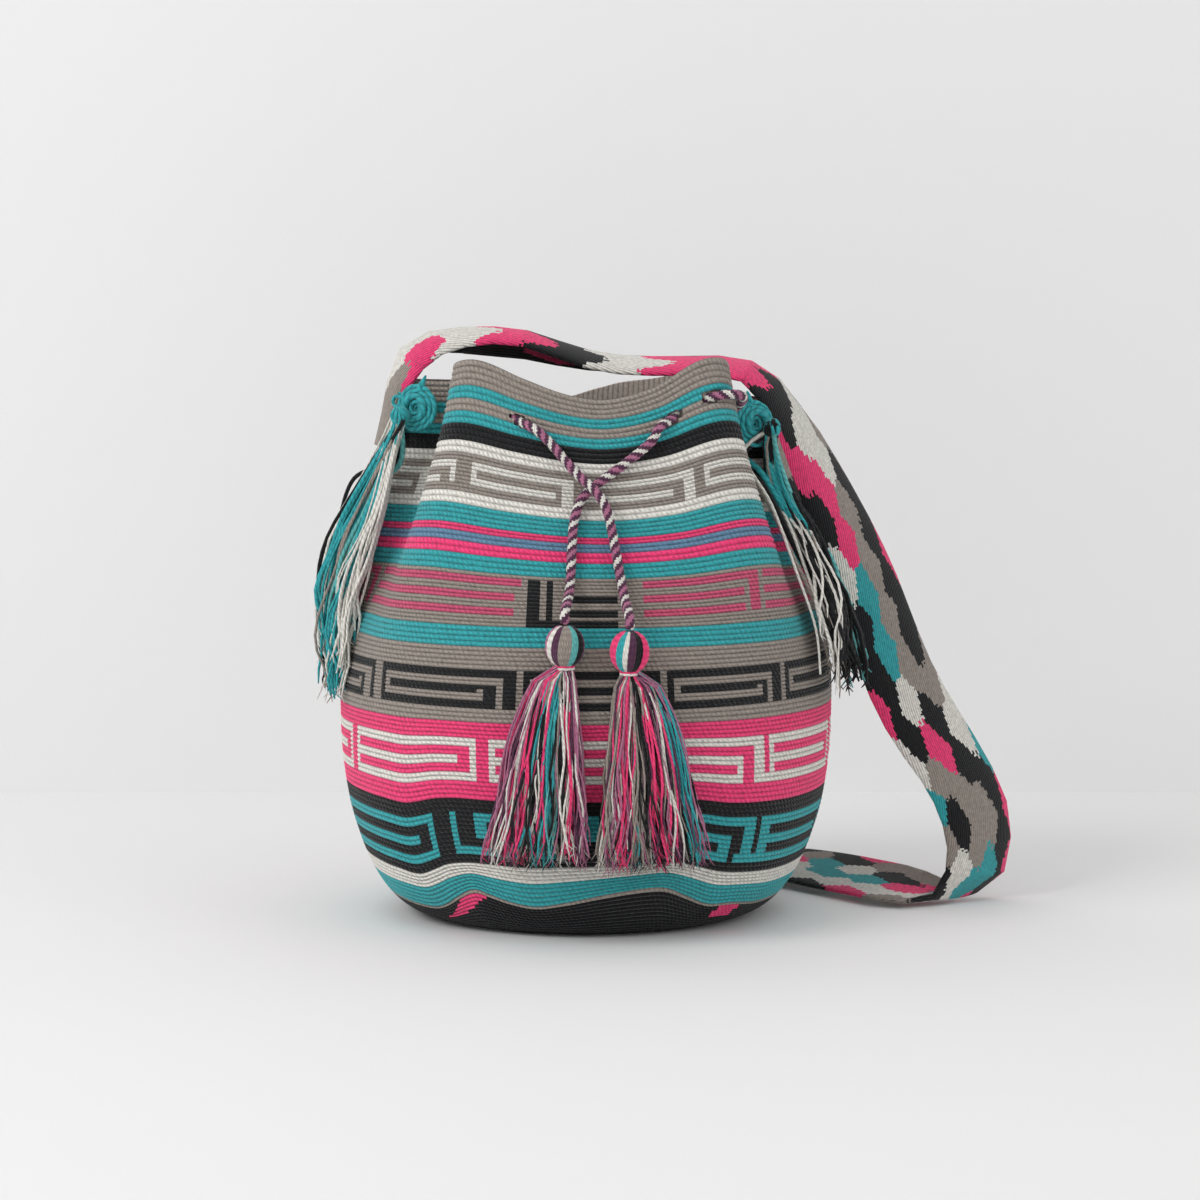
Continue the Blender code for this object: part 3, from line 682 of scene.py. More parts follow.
def on_wall(degrees, share):
    height = wall_height(degrees, share)
    radius = wall_radius(degrees, height / BAG_HEIGHT)
    angle = math.radians(degrees)
    return Vector((radius * math.cos(angle), radius * math.sin(angle), height))


def wall_normal(degrees, share):
    step = 0.5
    along = on_wall(degrees + step, share) - on_wall(degrees - step, share)
    up = on_wall(degrees, share) - on_wall(degrees, share - 0.005)
    return along.cross(up).normalized()


def off_wall(degrees, share, outset):
    return on_wall(degrees, share) + wall_normal(degrees, share) * outset


def in_front(x, height, outset):
    """The point at x and height, and outset in front of the bag's front wall."""
    share = height / BAG_HEIGHT
    degrees = 270.0
    for _ in range(12):
        radius = wall_radius(degrees, share)
        degrees = 270 + math.degrees(math.asin(clamp(x / radius, -0.9, 0.9)))
    depth = wall_radius(degrees, share) * math.sin(math.radians(degrees))
    return Vector((x, depth - outset, height))


def curve_through(rows, steps):
    """Rows along a smooth curve through the given rows, every column alike."""
    found = []
    last = len(rows) - 1
    for i in range(last):
        before, start, end, after = rows[max(i - 1, 0)], rows[i], rows[i + 1], rows[min(i + 2, last)]
        for k in range(steps):
            t = k / steps
            weights = (
                -0.5 * t + t * t - 0.5 * t**3,
                1 - 2.5 * t * t + 1.5 * t**3,
                0.5 * t + 2 * t * t - 1.5 * t**3,
                -0.5 * t * t + 0.5 * t**3,
            )
            columns = zip(before, start, end, after)
            found.append([sum(w * value for w, value in zip(weights, four)) for four in columns])
    found.append(list(rows[last]))
    return found


def evenly(rows, count):
    """The rows at equal distances along the curve of their first three columns."""
    table = np.array(rows, float)
    steps = np.linalg.norm(np.diff(table[:, :3], axis=0), axis=1)
    lengths = np.concatenate([[0.0], np.cumsum(steps)])
    wanted = np.linspace(0, lengths[-1], count + 1)
    return np.stack([np.interp(wanted, lengths, column) for column in table.T], axis=1)


def seat_rows(tip, seat):
    """Strap rows up the outside of the gusset with its tip at these degrees."""
    edge = 1.0 if tip == LEFT_TIP else -1.0
    rows = []
    for share, bend in seat:
        place = off_wall(tip, share, SEAT_CLEARANCE + STRAP_THICKNESS / 2)
        rows.append((*place, 0.0, edge, 0.0, bend))
    return rows


def strap_rows():
    sizes = (BAG_WIDTH, BAG_DEPTH, BAG_HEIGHT)
    middle = [(*(share * size for share, size in zip(row, sizes)), *row[3:]) for row in STRAP_ROUTE]
    rows = [*seat_rows(LEFT_TIP, LEFT_SEAT), *middle, *seat_rows(RIGHT_TIP, RIGHT_SEAT)]
    return evenly(curve_through(rows, 10), STRAP_STEPS)


def strap_frame(rows, position):
    """Centre, edge and face directions and half angle at a place from 0 to the last row."""
    i = int(clamp(position, 0, len(rows) - 2))
    t = position - i
    row = rows[i] + (rows[i + 1] - rows[i]) * t
    before = rows[max(0, i - 1)] if t < 0.5 else rows[i]
    after = rows[i + 1] if t < 0.5 else rows[min(len(rows) - 1, i + 2)]
    along = Vector(after[:3] - before[:3]).normalized()
    edge = Vector(row[3:6]).normalized()
    return Vector(row[:3]), edge, along.cross(edge).normalized(), math.radians(row[6])


def on_strap(rows, position, across, outset=0.0):
    """A point of the strap: across runs from -1 to 1, outset is off its middle surface."""
    centre, edge, face, bend = strap_frame(rows, position)
    if abs(bend) < 0.02:
        return centre + edge * (STRAP_WIDTH / 2 * across) + face * outset
    radius = STRAP_WIDTH / 2 / bend
    turn = bend * across
    reach = radius + outset
    return centre - face * radius + edge * (reach * math.sin(turn)) + face * (reach * math.cos(turn))


def cord_beside(degrees, share, side):
    """A point of the drawstring beside the wall: side is -1 inside and 1 outside."""
    off = WALL / 2 + CORD_DIAMETER / 2 + WALL_CLEARANCE
    return off_wall(degrees, share, side * off - WALL / 2)


def degrees_along(degrees, share, way):
    """The degrees at SLOT_REACH along the wall from a place, measured round its folds."""
    start = on_wall(degrees, share)
    turned = degrees
    while (on_wall(turned, share) - start).length < SLOT_REACH:
        turned += way * 0.1
    return turned


def crossing(hole):
    """The drawstring's points inside, within and outside the wall at a hole."""
    degrees, share, way, drop = hole
    inside = cord_beside(degrees_along(degrees, share, -way), share + drop, -1)
    outside = cord_beside(degrees_along(degrees, share, way), share - drop, 1)
    return [inside, off_wall(degrees, share, -WALL / 2), outside]


def head_centre(tassel):
    across, up = tassel[0] * BAG_WIDTH, tassel[1] * BAG_HEIGHT
    return in_front(across, up, HEAD_WIDTH / 2 + WALL_CLEARANCE)


def end_points(table):
    """The part of the drawstring that hangs in front of the wall."""
    points = []
    for across, up, off in table:
        outset = CORD_DIAMETER * (0.5 + off) + WALL_CLEARANCE
        points.append(in_front(across * BAG_WIDTH, up * BAG_HEIGHT, outset))
    return points


def cord_end(tassel):
    """The last two points of the drawstring, straight above a tassel's head."""
    end = head_centre(tassel) + Vector((0, 0, HEAD_HEIGHT / 2 + CORD_END_GAP))
    return [end + Vector((0, 0, CORD_DIAMETER)), end]


def there_and_back(first, second):
    """Out through one hole and in again through the other."""
    return [*crossing(first), *reversed(crossing(second))]


def drawstring_points():
    """The whole route, from the right tassel round the mouth to the left tassel."""
    height = BAG_HEIGHT * LEFT_EYELET[1]
    gusset_x, gusset_y = CORD_GUSSET_X * BAG_WIDTH, CORD_GUSSET_Y * BAG_DEPTH
    left_side = [Vector((-gusset_x, y, height)) for y in (-gusset_y, 0.0, gusset_y)]
    right_side = [Vector((gusset_x, y, height)) for y in (gusset_y, 0.0)]
    return [
        *reversed([*end_points(LEFT_END), *cord_end(RIGHT_TASSEL)]),
        *reversed(crossing(LEFT_EYELET)),
        *left_side,
        *there_and_back(*BACK_LEFT_HOLES),
        *there_and_back(*BACK_RIGHT_HOLES),
        *right_side,
        *crossing(CREST_HOLES[0]),
        cord_beside(*CREST),
        *reversed(crossing(CREST_HOLES[1])),
        *crossing(RIGHT_EYELET),
        *end_points(RIGHT_END),
        *cord_end(LEFT_TASSEL),
    ]


# Meshes: building, colouring and riding on the frame


def mesh_object(name, points, faces, letters=None, uvs=None, smooth_faces=True):
    """A mesh object from arrays: points, quads, a letter number for each face, uvs for each corner."""
    mesh = bpy.data.meshes.new(name)
    points = np.asarray(points, np.float32)
    faces = np.asarray(faces, np.int32)
    mesh.vertices.add(len(points))
    mesh.vertices.foreach_set("co", points.ravel())
    mesh.loops.add(faces.size)
    mesh.loops.foreach_set("vertex_index", faces.ravel())
    mesh.polygons.add(len(faces))
    mesh.polygons.foreach_set("loop_start", np.arange(0, faces.size, faces.shape[1], dtype=np.int32))
    mesh.update(calc_edges=True)
    mesh.validate()
    if letters is not None:
        layer = mesh.color_attributes.new("Yarn", "FLOAT_COLOR", "CORNER")
        table = np.array([(*settings_color(letter), 1.0) for letter in LETTERS], np.float32)
        colors = np.repeat(table[np.asarray(letters, int)], faces.shape[1], axis=0)
        layer.data.foreach_set("color", colors.ravel())
    if uvs is not None:
        layer = mesh.uv_layers.new(name="Rounds")
        layer.data.foreach_set("uv", np.asarray(uvs, np.float32).ravel())
    mesh.polygons.foreach_set("use_smooth", [smooth_faces] * len(mesh.polygons))
    obj = bpy.data.objects.new(name, mesh)
    bpy.context.scene.collection.objects.link(obj)
    return obj


def grid_faces(rows, columns, around=False, first=0):
    """Quads of a grid of points in rows; around closes each row on itself."""
    wide = columns if around else columns - 1
    i, j = np.meshgrid(np.arange(rows - 1), np.arange(wide), indexing="ij")
    right = (j + 1) % columns
    quads = np.stack(
        [i * columns + j, i * columns + right, (i + 1) * columns + right, (i + 1) * columns + j], axis=-1
    )
    return quads.reshape(-1, 4) + first


def face_places(rows, columns):
    """Row and column number of every face of a grid."""
    i, j = np.meshgrid(np.arange(rows), np.arange(columns), indexing="ij")
    return i.ravel(), j.ravel()


def quad_uvs(left, right, low, high):
    """Four uv corners for each face, from where its sides lie."""
    corners = ((left, low), (right, low), (right, high), (left, high))
    return np.stack([np.stack(corner, -1) for corner in corners], axis=1).reshape(-1, 2)


def ring_faces(lower, upper, columns):
    """Quads between two rings, each given by the number of its first point."""
    here = np.arange(columns)
    after = (here + 1) % columns
    return np.stack([lower + here, lower + after, upper + after, upper + here], axis=-1)


def tube(path, radii, sides, phase=0.0, lobes=0, lobe_depth=0.0, twist=0.0):
    """Points of a tube along a path, in rings; lobes make it a rope of plies that twists."""
    path = np.asarray(path, float)
    count = len(path)
    tangents = np.gradient(path, axis=0)
    tangents /= np.linalg.norm(tangents, axis=1)[:, None]
    helper = np.array([0.0, 1.0, 0.0]) if abs(tangents[0][1]) < 0.8 else np.array([1.0, 0.0, 0.0])
    side = np.cross(tangents[0], helper)
    rings = []
    for k in range(count):
        side = side - tangents[k] * side.dot(tangents[k])
        side /= np.linalg.norm(side)
        other = np.cross(tangents[k], side)
        turns = 2 * math.pi * np.arange(sides) / sides + phase
        reach = np.full(sides, radii[k] if hasattr(radii, "__len__") else radii)
        if lobes:
            reach = reach * (1 - lobe_depth * (1 - np.abs(np.sin(0.5 * lobes * (turns - twist * k)))))
        ring = path[k] + np.outer(np.cos(turns) * reach, side) + np.outer(np.sin(turns) * reach, other)
        rings.append(ring)
    return np.concatenate(rings)


class Bundle:
    """Collects many tubes of yarn as one mesh."""

    def __init__(self):
        self.points = []
        self.faces = []
        self.letters = []
        self.uvs = []
        self.total = 0

    def add(self, path, radii, sides, letter, turns_per_metre=90):
        path = np.asarray(path, float)
        points = tube(path, radii, sides)
        faces = grid_faces(len(path), sides, True, self.total)
        steps = np.concatenate([[0.0], np.cumsum(np.linalg.norm(np.diff(path, axis=0), axis=1))])
        along = steps * turns_per_metre
        i, j = face_places(len(path) - 1, sides)
        self.points.append(points)
        self.faces.append(faces)
        self.letters.append(np.full(len(faces), LETTERS.index(letter)))
        self.uvs.append(quad_uvs(j / sides, (j + 1) / sides, along[i], along[i + 1]))
        self.total += len(points)

    def build(self, name):
        return mesh_object(
            name,
            np.concatenate(self.points),
            np.concatenate(self.faces),
            np.concatenate(self.letters),
            np.concatenate(self.uvs),
        )


def put(obj, material, *nodes, slot=None):
    """Gives the piece its material, lets it ride on the frame and stand for the CAD nodes."""
    obj.data.materials.append(material)
    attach(obj, ROOT)
    if nodes:
        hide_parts(*nodes)
    return obj


# Materials


def node_group(name, inputs, outputs):
    group = bpy.data.node_groups.new(name, "ShaderNodeTree")
    for title, kind, value in inputs:
        socket = group.interface.new_socket(title, in_out="INPUT", socket_type=kind)
        socket.default_value = value
    for title, kind in outputs:
        group.interface.new_socket(title, in_out="OUTPUT", socket_type=kind)
    return group, group.nodes.new("NodeGroupInput"), group.nodes.new("NodeGroupOutput")


def math_node(group, operation, first, second=None, clamped=False):
    node = group.nodes.new("ShaderNodeMath")
    node.operation = operation
    node.use_clamp = clamped
    for socket, value in zip(node.inputs, (first, second)):
        if value is None:
            continue
        if isinstance(value, (int, float)):
            socket.default_value = value
        else:
            group.links.new(value, socket)
    return node.outputs[0]


def ridges(group, place):
    """A row of round ridges, one for each whole step of the place."""
    wave = math_node(group, "SINE", math_node(group, "MULTIPLY", place, math.pi))
    return math_node(group, "ABSOLUTE", wave)


def rounds_uv(group):
    """The two uv values of the rounds: how far round, and how far up or along."""
    uv = group.nodes.new("ShaderNodeUVMap")
    uv.uv_map = "Rounds"
    split = group.nodes.new("ShaderNodeSeparateXYZ")
    group.links.new(uv.outputs["UV"], split.inputs[0])
    return split.outputs["X"], split.outputs["Y"]


def fibre_group():
    """Fine fuzz of yarn: a height and a shade from noise in the object's own coordinates."""
    name = "Yarn fibres"
    if name in bpy.data.node_groups:
        return bpy.data.node_groups[name]
    inputs = [("Scale", "NodeSocketFloat", 520.0), ("Shade", "NodeSocketFloat", 0.75)]
    outputs = [("Height", "NodeSocketFloat"), ("Value", "NodeSocketFloat")]
    group, given, made = node_group(name, inputs, outputs)
    coordinate = group.nodes.new("ShaderNodeTexCoord")
    noise = group.nodes.new("ShaderNodeTexNoise")
    noise.inputs["Detail"].default_value = 2.0
    group.links.new(coordinate.outputs["Object"], noise.inputs["Vector"])
    group.links.new(given.outputs["Scale"], noise.inputs["Scale"])
    group.links.new(noise.outputs["Fac"], made.inputs["Height"])
    centred = math_node(group, "SUBTRACT", noise.outputs["Fac"], 0.5)
    shade = math_node(group, "MULTIPLY", centred, given.outputs["Shade"])
    group.links.new(math_node(group, "ADD", shade, 1.0), made.inputs["Value"])
    return group


def stitch_group():
    """Stitches of single crochet: a height, and a colour factor of painted shade that darkens the grooves
    between rounds and stitches and lifts the crests to 1.13, from the rounds' own coordinates.
    """
    name = "Crochet stitches"
    if name in bpy.data.node_groups:
        return bpy.data.node_groups[name]
    inputs = [("Slant", "NodeSocketFloat", 0.60), ("Dark", "NodeSocketFloat", 0.46)]
    outputs = [("Height", "NodeSocketFloat"), ("Value", "NodeSocketFloat")]
    group, given, made = node_group(name, inputs, outputs)
    stitch, rounds = rounds_uv(group)
    within = math_node(group, "FRACT", rounds)
    number = math_node(group, "FLOOR", rounds)
    shift = math_node(group, "MULTIPLY", number, 0.37)
    leaning = math_node(group, "MULTIPLY", within, given.outputs["Slant"])
    place = math_node(group, "ADD", math_node(group, "ADD", stitch, shift), leaning)
    across = math_node(group, "POWER", ridges(group, place), 0.6)
    up = math_node(group, "POWER", ridges(group, within), 0.6)
    bead = math_node(group, "ADD", math_node(group, "MULTIPLY", across, 0.62), 0.38)
    height = math_node(group, "MULTIPLY", bead, up)
    group.links.new(height, made.inputs["Height"])
    # Painted shade: the yarn's colour is darkened where the relief sinks, in the grooves between rounds and
    # between stitches, and lifted to 1.13 on the crests
    painted_hollow_shade = math_node(group, "MULTIPLY", math_node(group, "SUBTRACT", 1.0, height), given.outputs["Dark"])
    group.links.new(math_node(group, "SUBTRACT", 1.13, painted_hollow_shade), made.inputs["Value"])
    return group


def ply_group():
    """Diagonal ridges of twisted plies, from the uv map: a height, and a colour factor of painted shade in
    the hollows between the plies.
    """
    name = "Twisted plies"
    if name in bpy.data.node_groups:
        return bpy.data.node_groups[name]
    inputs = [("Plies", "NodeSocketFloat", 2.0), ("Dark", "NodeSocketFloat", 0.35)]
    outputs = [("Height", "NodeSocketFloat"), ("Value", "NodeSocketFloat")]
    group, given, made = node_group(name, inputs, outputs)
    around, along = rounds_uv(group)
    turned = math_node(group, "MULTIPLY", around, given.outputs["Plies"])
    place = math_node(group, "ADD", turned, along)
    height = math_node(group, "POWER", ridges(group, place), 0.7)
    group.links.new(height, made.inputs["Height"])
    # Painted shade: the yarn's colour is darkened in the hollows between the plies
    painted_hollow_shade = math_node(group, "MULTIPLY", math_node(group, "SUBTRACT", 1.0, height), given.outputs["Dark"])
    group.links.new(math_node(group, "SUBTRACT", 1.0, painted_hollow_shade, True), made.inputs["Value"])
    return group


def bump_node(tree, height, depth):
    bump = tree.nodes.new("ShaderNodeBump")
    bump.inputs["Distance"].default_value = depth
    bump.inputs["Strength"].default_value = 1.0
    tree.links.new(height, bump.inputs["Height"])
    return bump


def yarn_material(name, relief, relief_inputs, relief_depth, fibre_depth, roughness=0.85):
    """A material that takes its colour from the mesh's yarn letters, darkened by painted shade in the
    relief's hollows and mottled by the fibres' random tone, with relief and fibres as bumps.
    """
    material = bpy.data.materials.new(name)
    material.use_nodes = True
    tree = material.node_tree
    shader = tree.nodes["Principled BSDF"]
    shader.inputs["Roughness"].default_value = roughness
    shader.inputs["Specular IOR Level"].default_value = 0.25
    shader.inputs["Sheen Weight"].default_value = 0.15
    shader.inputs["Sheen Roughness"].default_value = 0.5
    color = tree.nodes.new("ShaderNodeAttribute")
    color.attribute_name = "Yarn"
    stitches = tree.nodes.new("ShaderNodeGroup")
    stitches.node_tree = relief
    for key, value in relief_inputs.items():
        stitches.inputs[key].default_value = value
    fibres = tree.nodes.new("ShaderNodeGroup")
    fibres.node_tree = fibre_group()
    # The base colour is the yarn's colour times the relief's painted shade and the fibres' random tone
    shade = math_node(tree, "MULTIPLY", stitches.outputs["Value"], fibres.outputs["Value"])
    mix = tree.nodes.new("ShaderNodeVectorMath")
    mix.operation = "SCALE"
    tree.links.new(color.outputs["Color"], mix.inputs[0])
    tree.links.new(shade, mix.inputs["Scale"])
    tree.links.new(mix.outputs[0], shader.inputs["Base Color"])
    relief_bump = bump_node(tree, stitches.outputs["Height"], relief_depth)
    fibre_bump = bump_node(tree, fibres.outputs["Height"], fibre_depth)
    tree.links.new(relief_bump.outputs["Normal"], fibre_bump.inputs["Normal"])
    tree.links.new(fibre_bump.outputs["Normal"], shader.inputs["Normal"])
    return material


def plain_material(name, color, roughness):
    material = bpy.data.materials.new(name)
    material.use_nodes = True
    shader = material.node_tree.nodes["Principled BSDF"]
    noise = material.node_tree.nodes.new("ShaderNodeTexNoise")
    noise.inputs["Scale"].default_value = 3.0
    ramp = material.node_tree.nodes.new("ShaderNodeMapRange")
    ramp.inputs["To Min"].default_value = roughness - 0.02
    ramp.inputs["To Max"].default_value = roughness + 0.02
    material.node_tree.links.new(noise.outputs["Fac"], ramp.inputs["Value"])
    material.node_tree.links.new(ramp.outputs["Result"], shader.inputs["Roughness"])
    shader.inputs["Base Color"].default_value = (*color, 1.0)
    shader.inputs["Specular IOR Level"].default_value = 0.2
    return material


def color_property(letter):
    title, color = PALETTE[letter]
    return FloatVectorProperty(
        name=title,
        description=f"Colour of the {title.lower()} yarn",
        default=color,
        min=0.0,
        max=1.0,
        size=3,
        subtype="COLOR",
    )


class WAYUU_PG_colors(PropertyGroup):
    """Colours of the yarn"""

    K: color_property("K")
    P: color_property("P")
    W: color_property("W")
    T: color_property("T")
    G: color_property("G")
    L: color_property("L")
    B: color_property("B")
    M: color_property("M")
    R: color_property("R")
    D: color_property("D")


class WAYUU_PG_sizes(PropertyGroup):
    """Sizes of the yarn work"""

    columns: IntProperty(
        name="Columns",
        description="Mesh columns round the bag",
        default=224,
        min=48,
        max=224,
    )
    ridge: FloatProperty(
        name="Round relief",
        description="How far each round of crochet stands out",
        default=0.00070,
        min=0.0,
        max=0.001,
        unit="LENGTH",
        precision=5,
    )
    stitches: IntProperty(
        name="Stitches",
        description="Stitches in a round",
        default=264,
        min=60,
        max=400,
    )
    strands: IntProperty(
        name="Strands",
        description="Strands in a tassel's skirt",
        default=420,
        min=20,
        max=600,
    )
    strand: FloatProperty(
        name="Strand",
        description="Diameter of a strand of tassel yarn",
        default=0.0012,
        min=0.0005,
        max=0.004,
        unit="LENGTH",
        precision=4,
    )


class WAYUU_PG_stage(PropertyGroup):
    """Light and camera"""

    lens: FloatProperty(
        name="Lens",
        description="Focal length of the camera",
        default=122.58,
        min=20,
        max=300,
    )
    key: FloatProperty(
        name="Key light",
        description="Power of the main soft light",
        default=26.0,
        min=0.0,
        max=400,
    )
    fill: FloatProperty(
        name="Fill light",
        description="Strength of the light all round",
        default=0.66,
        min=0,
        max=4,
    )


def settings_color(letter):
    return tuple(getattr(bpy.context.scene.wayuu_colors, letter))


# The bag's body


def round_shares():
    """Height share of each border between rounds, from the base to the rim."""
    borders = [0.0]
    for count, top, _, _ in BANDS:
        low = borders[-1]
        borders.extend(low + (top - low) * (k + 1) / count for k in range(count))
    return borders


def foot_lengths(borders, count):
    """Spreads the first rounds evenly along the curve of the foot instead of by height."""
    fine = [on_wall(270, borders[count] * k / 200) for k in range(201)]
    lengths = [0.0]
    for a, b in zip(fine, fine[1:]):
        lengths.append(lengths[-1] + (b - a).length)
    wanted = [lengths[-1] * k / count for k in range(count + 1)]
    shares = np.interp(wanted, lengths, [borders[count] * k / 200 for k in range(201)])
    return [*shares, *borders[count + 1 :]]


def sag(degrees, share):
    """How far a round is moved at the foot, as a share of the height."""
    low, high = smooth(SAG_ROUND, degrees % 360, 1), smooth(SAG_ROUND, degrees % 360, 2)
    if share < SAG_SHARES[0]:
        return low * share / SAG_SHARES[0]
    if share < SAG_SHARES[1]:
        return low + (high - low) * (share - SAG_SHARES[0]) / (SAG_SHARES[1] - SAG_SHARES[0])
    return high * smooth(SAG_FADE, share)


def round_line(share, columns):
    """Points along one border between rounds, evenly spaced from the middle of the back."""
    degrees = np.arange(90, 450.01, 1.0)
    points = np.array([on_wall(turn, share + sag(turn, share)) for turn in degrees])
    steps = np.linalg.norm(np.diff(points, axis=0), axis=1)
    lengths = np.concatenate([[0.0], np.cumsum(steps)])
    middle = lengths[180]
    places = (np.arange(columns) / columns - 0.5) * lengths[-1] + middle
    places = np.mod(places, lengths[-1])
    return np.stack([np.interp(places, lengths, column) for column in points.T], axis=1)


def chart_units(units, total):
    """Start and width of every unit of a chart, the back filled with evenly wide ones."""
    starts = [start for start, _ in units]
    kinds = [kind for _, kind in units]
    pitch = starts[-1] - starts[-2]
    end = starts[-1] + pitch
    left = starts[0] + 1 - end
    extra = total - len(units)
    found = [(start, nxt - start, kind) for start, nxt, kind in zip(starts, [*starts[1:], end], kinds)]
    usual = "light_key" if kinds[0] == "short_key" else kinds[0]
    for k in range(extra):
        found.append((end + left * k / extra, left / extra, usual))
    return found


def paint_units(chart, places, first, kind):
    """Paints the key pattern of a band whose first round is given."""
    letter, units, total = CHARTS[kind]
    for start, width, strokes in chart_units(units, total):
        for low, high, bottom, top in STROKES[strokes]:
            ends = start + low * width, start + high * width
            paint(chart, places, *ends, first + bottom, first + top, letter)


def paint_bars(chart, places, first):
    """Paints the bars of the middle band, the same in each third of the way round."""
    for turn in range(BAR_TURNS):
        shift = turn * (1 / BAR_TURNS)
        for low, high, bottom, top, letter in BARS:
            paint(chart, places, low + shift, high + shift, first + bottom, first + top, letter)


def paint_patches(chart, places, last):
    """Paints the slanting patches from the last round of the base's band downwards."""
    for k in range(PATCH_ROUNDS):
        for low, high, slant in PATCHES:
            paint(chart, places, low + slant * k, high + slant * k, last - k, last - k, "P")


def body_chart(columns):
    """Letter numbers of every round and column of the wall."""
    chart = np.zeros((sum(band[0] for band in BANDS), columns), int)
    places = (np.arange(columns) + 0.5) / columns - 0.5
    first = 0
    for count, _, ground, kind in BANDS:
        chart[first : first + count] = LETTERS.index(ground)
        if kind in CHARTS:
            paint_units(chart, places, first, kind)
        if kind == "bars":
            paint_bars(chart, places, first)
        if kind == "patches":
            paint_patches(chart, places, first + count - 1)
        first += count
    return chart


def paint(chart, places, low, high, bottom, top, letter):
    """Colours the columns whose middle lies between low and high, at least one column."""
    width = high - low
    away = np.mod(places - low, 1.0)
    chosen = away < max(width, 0.75 / len(places))
    if not chosen.any():
        chosen[np.argmin(np.abs(away - width / 2))] = True
    chart[bottom : top + 1, chosen] = LETTERS.index(letter)


def round_grid(columns):
    """Points of the wall's outside: some rows in each round of crochet, and the rim."""
    borders = foot_lengths(round_shares(), BANDS[0][0])
    lines = np.array([round_line(share, columns) for share in borders])
    rounds = len(borders) - 1
    grid = np.zeros((rounds * ROUND_ROWS + 1, columns, 3))
    for k in range(rounds):
        for row in range(ROUND_ROWS):
            grid[k * ROUND_ROWS + row] = lines[k] + (lines[k + 1] - lines[k]) * (row / ROUND_ROWS)
    grid[-1] = lines[-1]
    return grid


def grid_normals(grid):
    along = np.roll(grid, -1, axis=1) - np.roll(grid, 1, axis=1)
    normals = np.cross(along, np.gradient(grid, axis=0))
    return normals / np.linalg.norm(normals, axis=2)[:, :, None]


def outer_skin(grid, normals, ridge):
    """The outside of the wall, on which each round stands out."""
    lift = np.append(np.tile(ROUND_PROFILE, len(grid) // ROUND_ROWS), 0.0) * ridge
    lift[0] = 0.0
    return grid + normals * lift[:, None, None]


def inner_skin(grid, normals):
    """The inside of the wall, from the rim down to the floor of the bag."""
    last = len(grid) - 1
    rows = [last - round(k * last / INNER_ROWS) for k in range(INNER_ROWS + 1)]
    inner = np.array([grid[row] - normals[row] * WALL for row in rows])
    inner[0] = grid[-1] - normals[-1] * (WALL * 0.8) + np.array([0, 0, 0.0002])
    inner[-1][:, 2] = WALL
    return inner


def base_disc(edge, height, edge_start, first, downwards):
    """Rings and faces that close the base from its edge to the middle."""
    columns = len(edge)
    rings, faces = [], []
    previous = edge_start
    for share in BASE_RINGS:
        rings.append(edge * np.array([share, share, 0.0]) + np.array([0, 0, height]))
        pair = (first, previous) if downwards else (previous, first)
        faces.append(ring_faces(*pair, columns))
        previous = first
        first += columns
    return rings, faces


def body_letters(columns):
    """Letter numbers of the outside, the inside, the rim and both sides of the base."""
    chart = body_chart(columns)
    inside = chart[::-1][np.linspace(0, len(chart) - 1, INNER_ROWS).astype(int)]
    base = np.full(2 * len(BASE_RINGS) * columns, LETTERS.index("K"))
    return np.concatenate([np.repeat(chart, ROUND_ROWS, axis=0).ravel(), inside.ravel(), chart[-1], base])


def body_uvs(rows, columns, stitches, plain_faces):
    """Stitches round the bag and rounds up it, on the outside only."""
    scale = stitches / columns
    i, j = face_places(rows, columns)
    outside = quad_uvs(j * scale, (j + 1) * scale, i / ROUND_ROWS, (i + 1) / ROUND_ROWS)
    plain = np.array([[0, 0.5], [scale, 0.5], [scale, 0.5], [0, 0.5]])
    return np.concatenate([outside, np.tile(plain, (plain_faces, 1))])


def body_arrays(columns, ridge, stitches):
    """Points, faces, letters and uvs of the wall, its inner skin and the base."""
    grid = round_grid(columns)
    normals = grid_normals(grid)
    outer, inner = outer_skin(grid, normals, ridge), inner_skin(grid, normals)
    inner_start, total = len(outer) * columns, (len(outer) + len(inner)) * columns
    under_rings, under_faces = base_disc(outer[0], 0.0, 0, total, True)
    floor_start = total + len(under_rings) * columns
    floor_rings, floor_faces = base_disc(inner[-1], WALL, total - columns, floor_start, False)
    outer_faces = grid_faces(len(outer), columns, True)
    inner_faces = grid_faces(len(inner), columns, True, inner_start)
    rim_faces = ring_faces(inner_start - columns, inner_start, columns)
    points = [outer.reshape(-1, 3), inner.reshape(-1, 3), *under_rings, *floor_rings]
    faces = np.concatenate([outer_faces, inner_faces, rim_faces, *under_faces, *floor_faces])
    uvs = body_uvs(len(outer) - 1, columns, stitches, len(faces) - len(outer_faces))
    return np.concatenate(points), faces, body_letters(columns), uvs


def without_holes(points, faces, letters, uvs):
    """Leaves out the faces within the slots of the drawstring."""
    centres = points[faces].mean(axis=1)
    kept = np.ones(len(faces), bool)
    for hole in (*BACK_LEFT_HOLES, *BACK_RIGHT_HOLES, *CREST_HOLES, LEFT_EYELET, RIGHT_EYELET):
        inside, middle, outside = crossing(hole)
        normal = wall_normal(hole[0], hole[1])
        long_way = outside - inside
        long_way = (long_way - normal * long_way.dot(normal)).normalized()
        short_way = normal.cross(long_way)
        away = centres - np.array(middle)
        x = away @ np.array(long_way) / (SLOT_LENGTH * 0.36)
        y = away @ np.array(short_way) / (SLOT_HEIGHT * 0.42)
        z = away @ np.array(normal) / 0.008
        kept &= (x * x + y * y + z * z) > 1.0
    corners = np.repeat(kept, faces.shape[1])
    return points, faces[kept], letters[kept], uvs[corners]


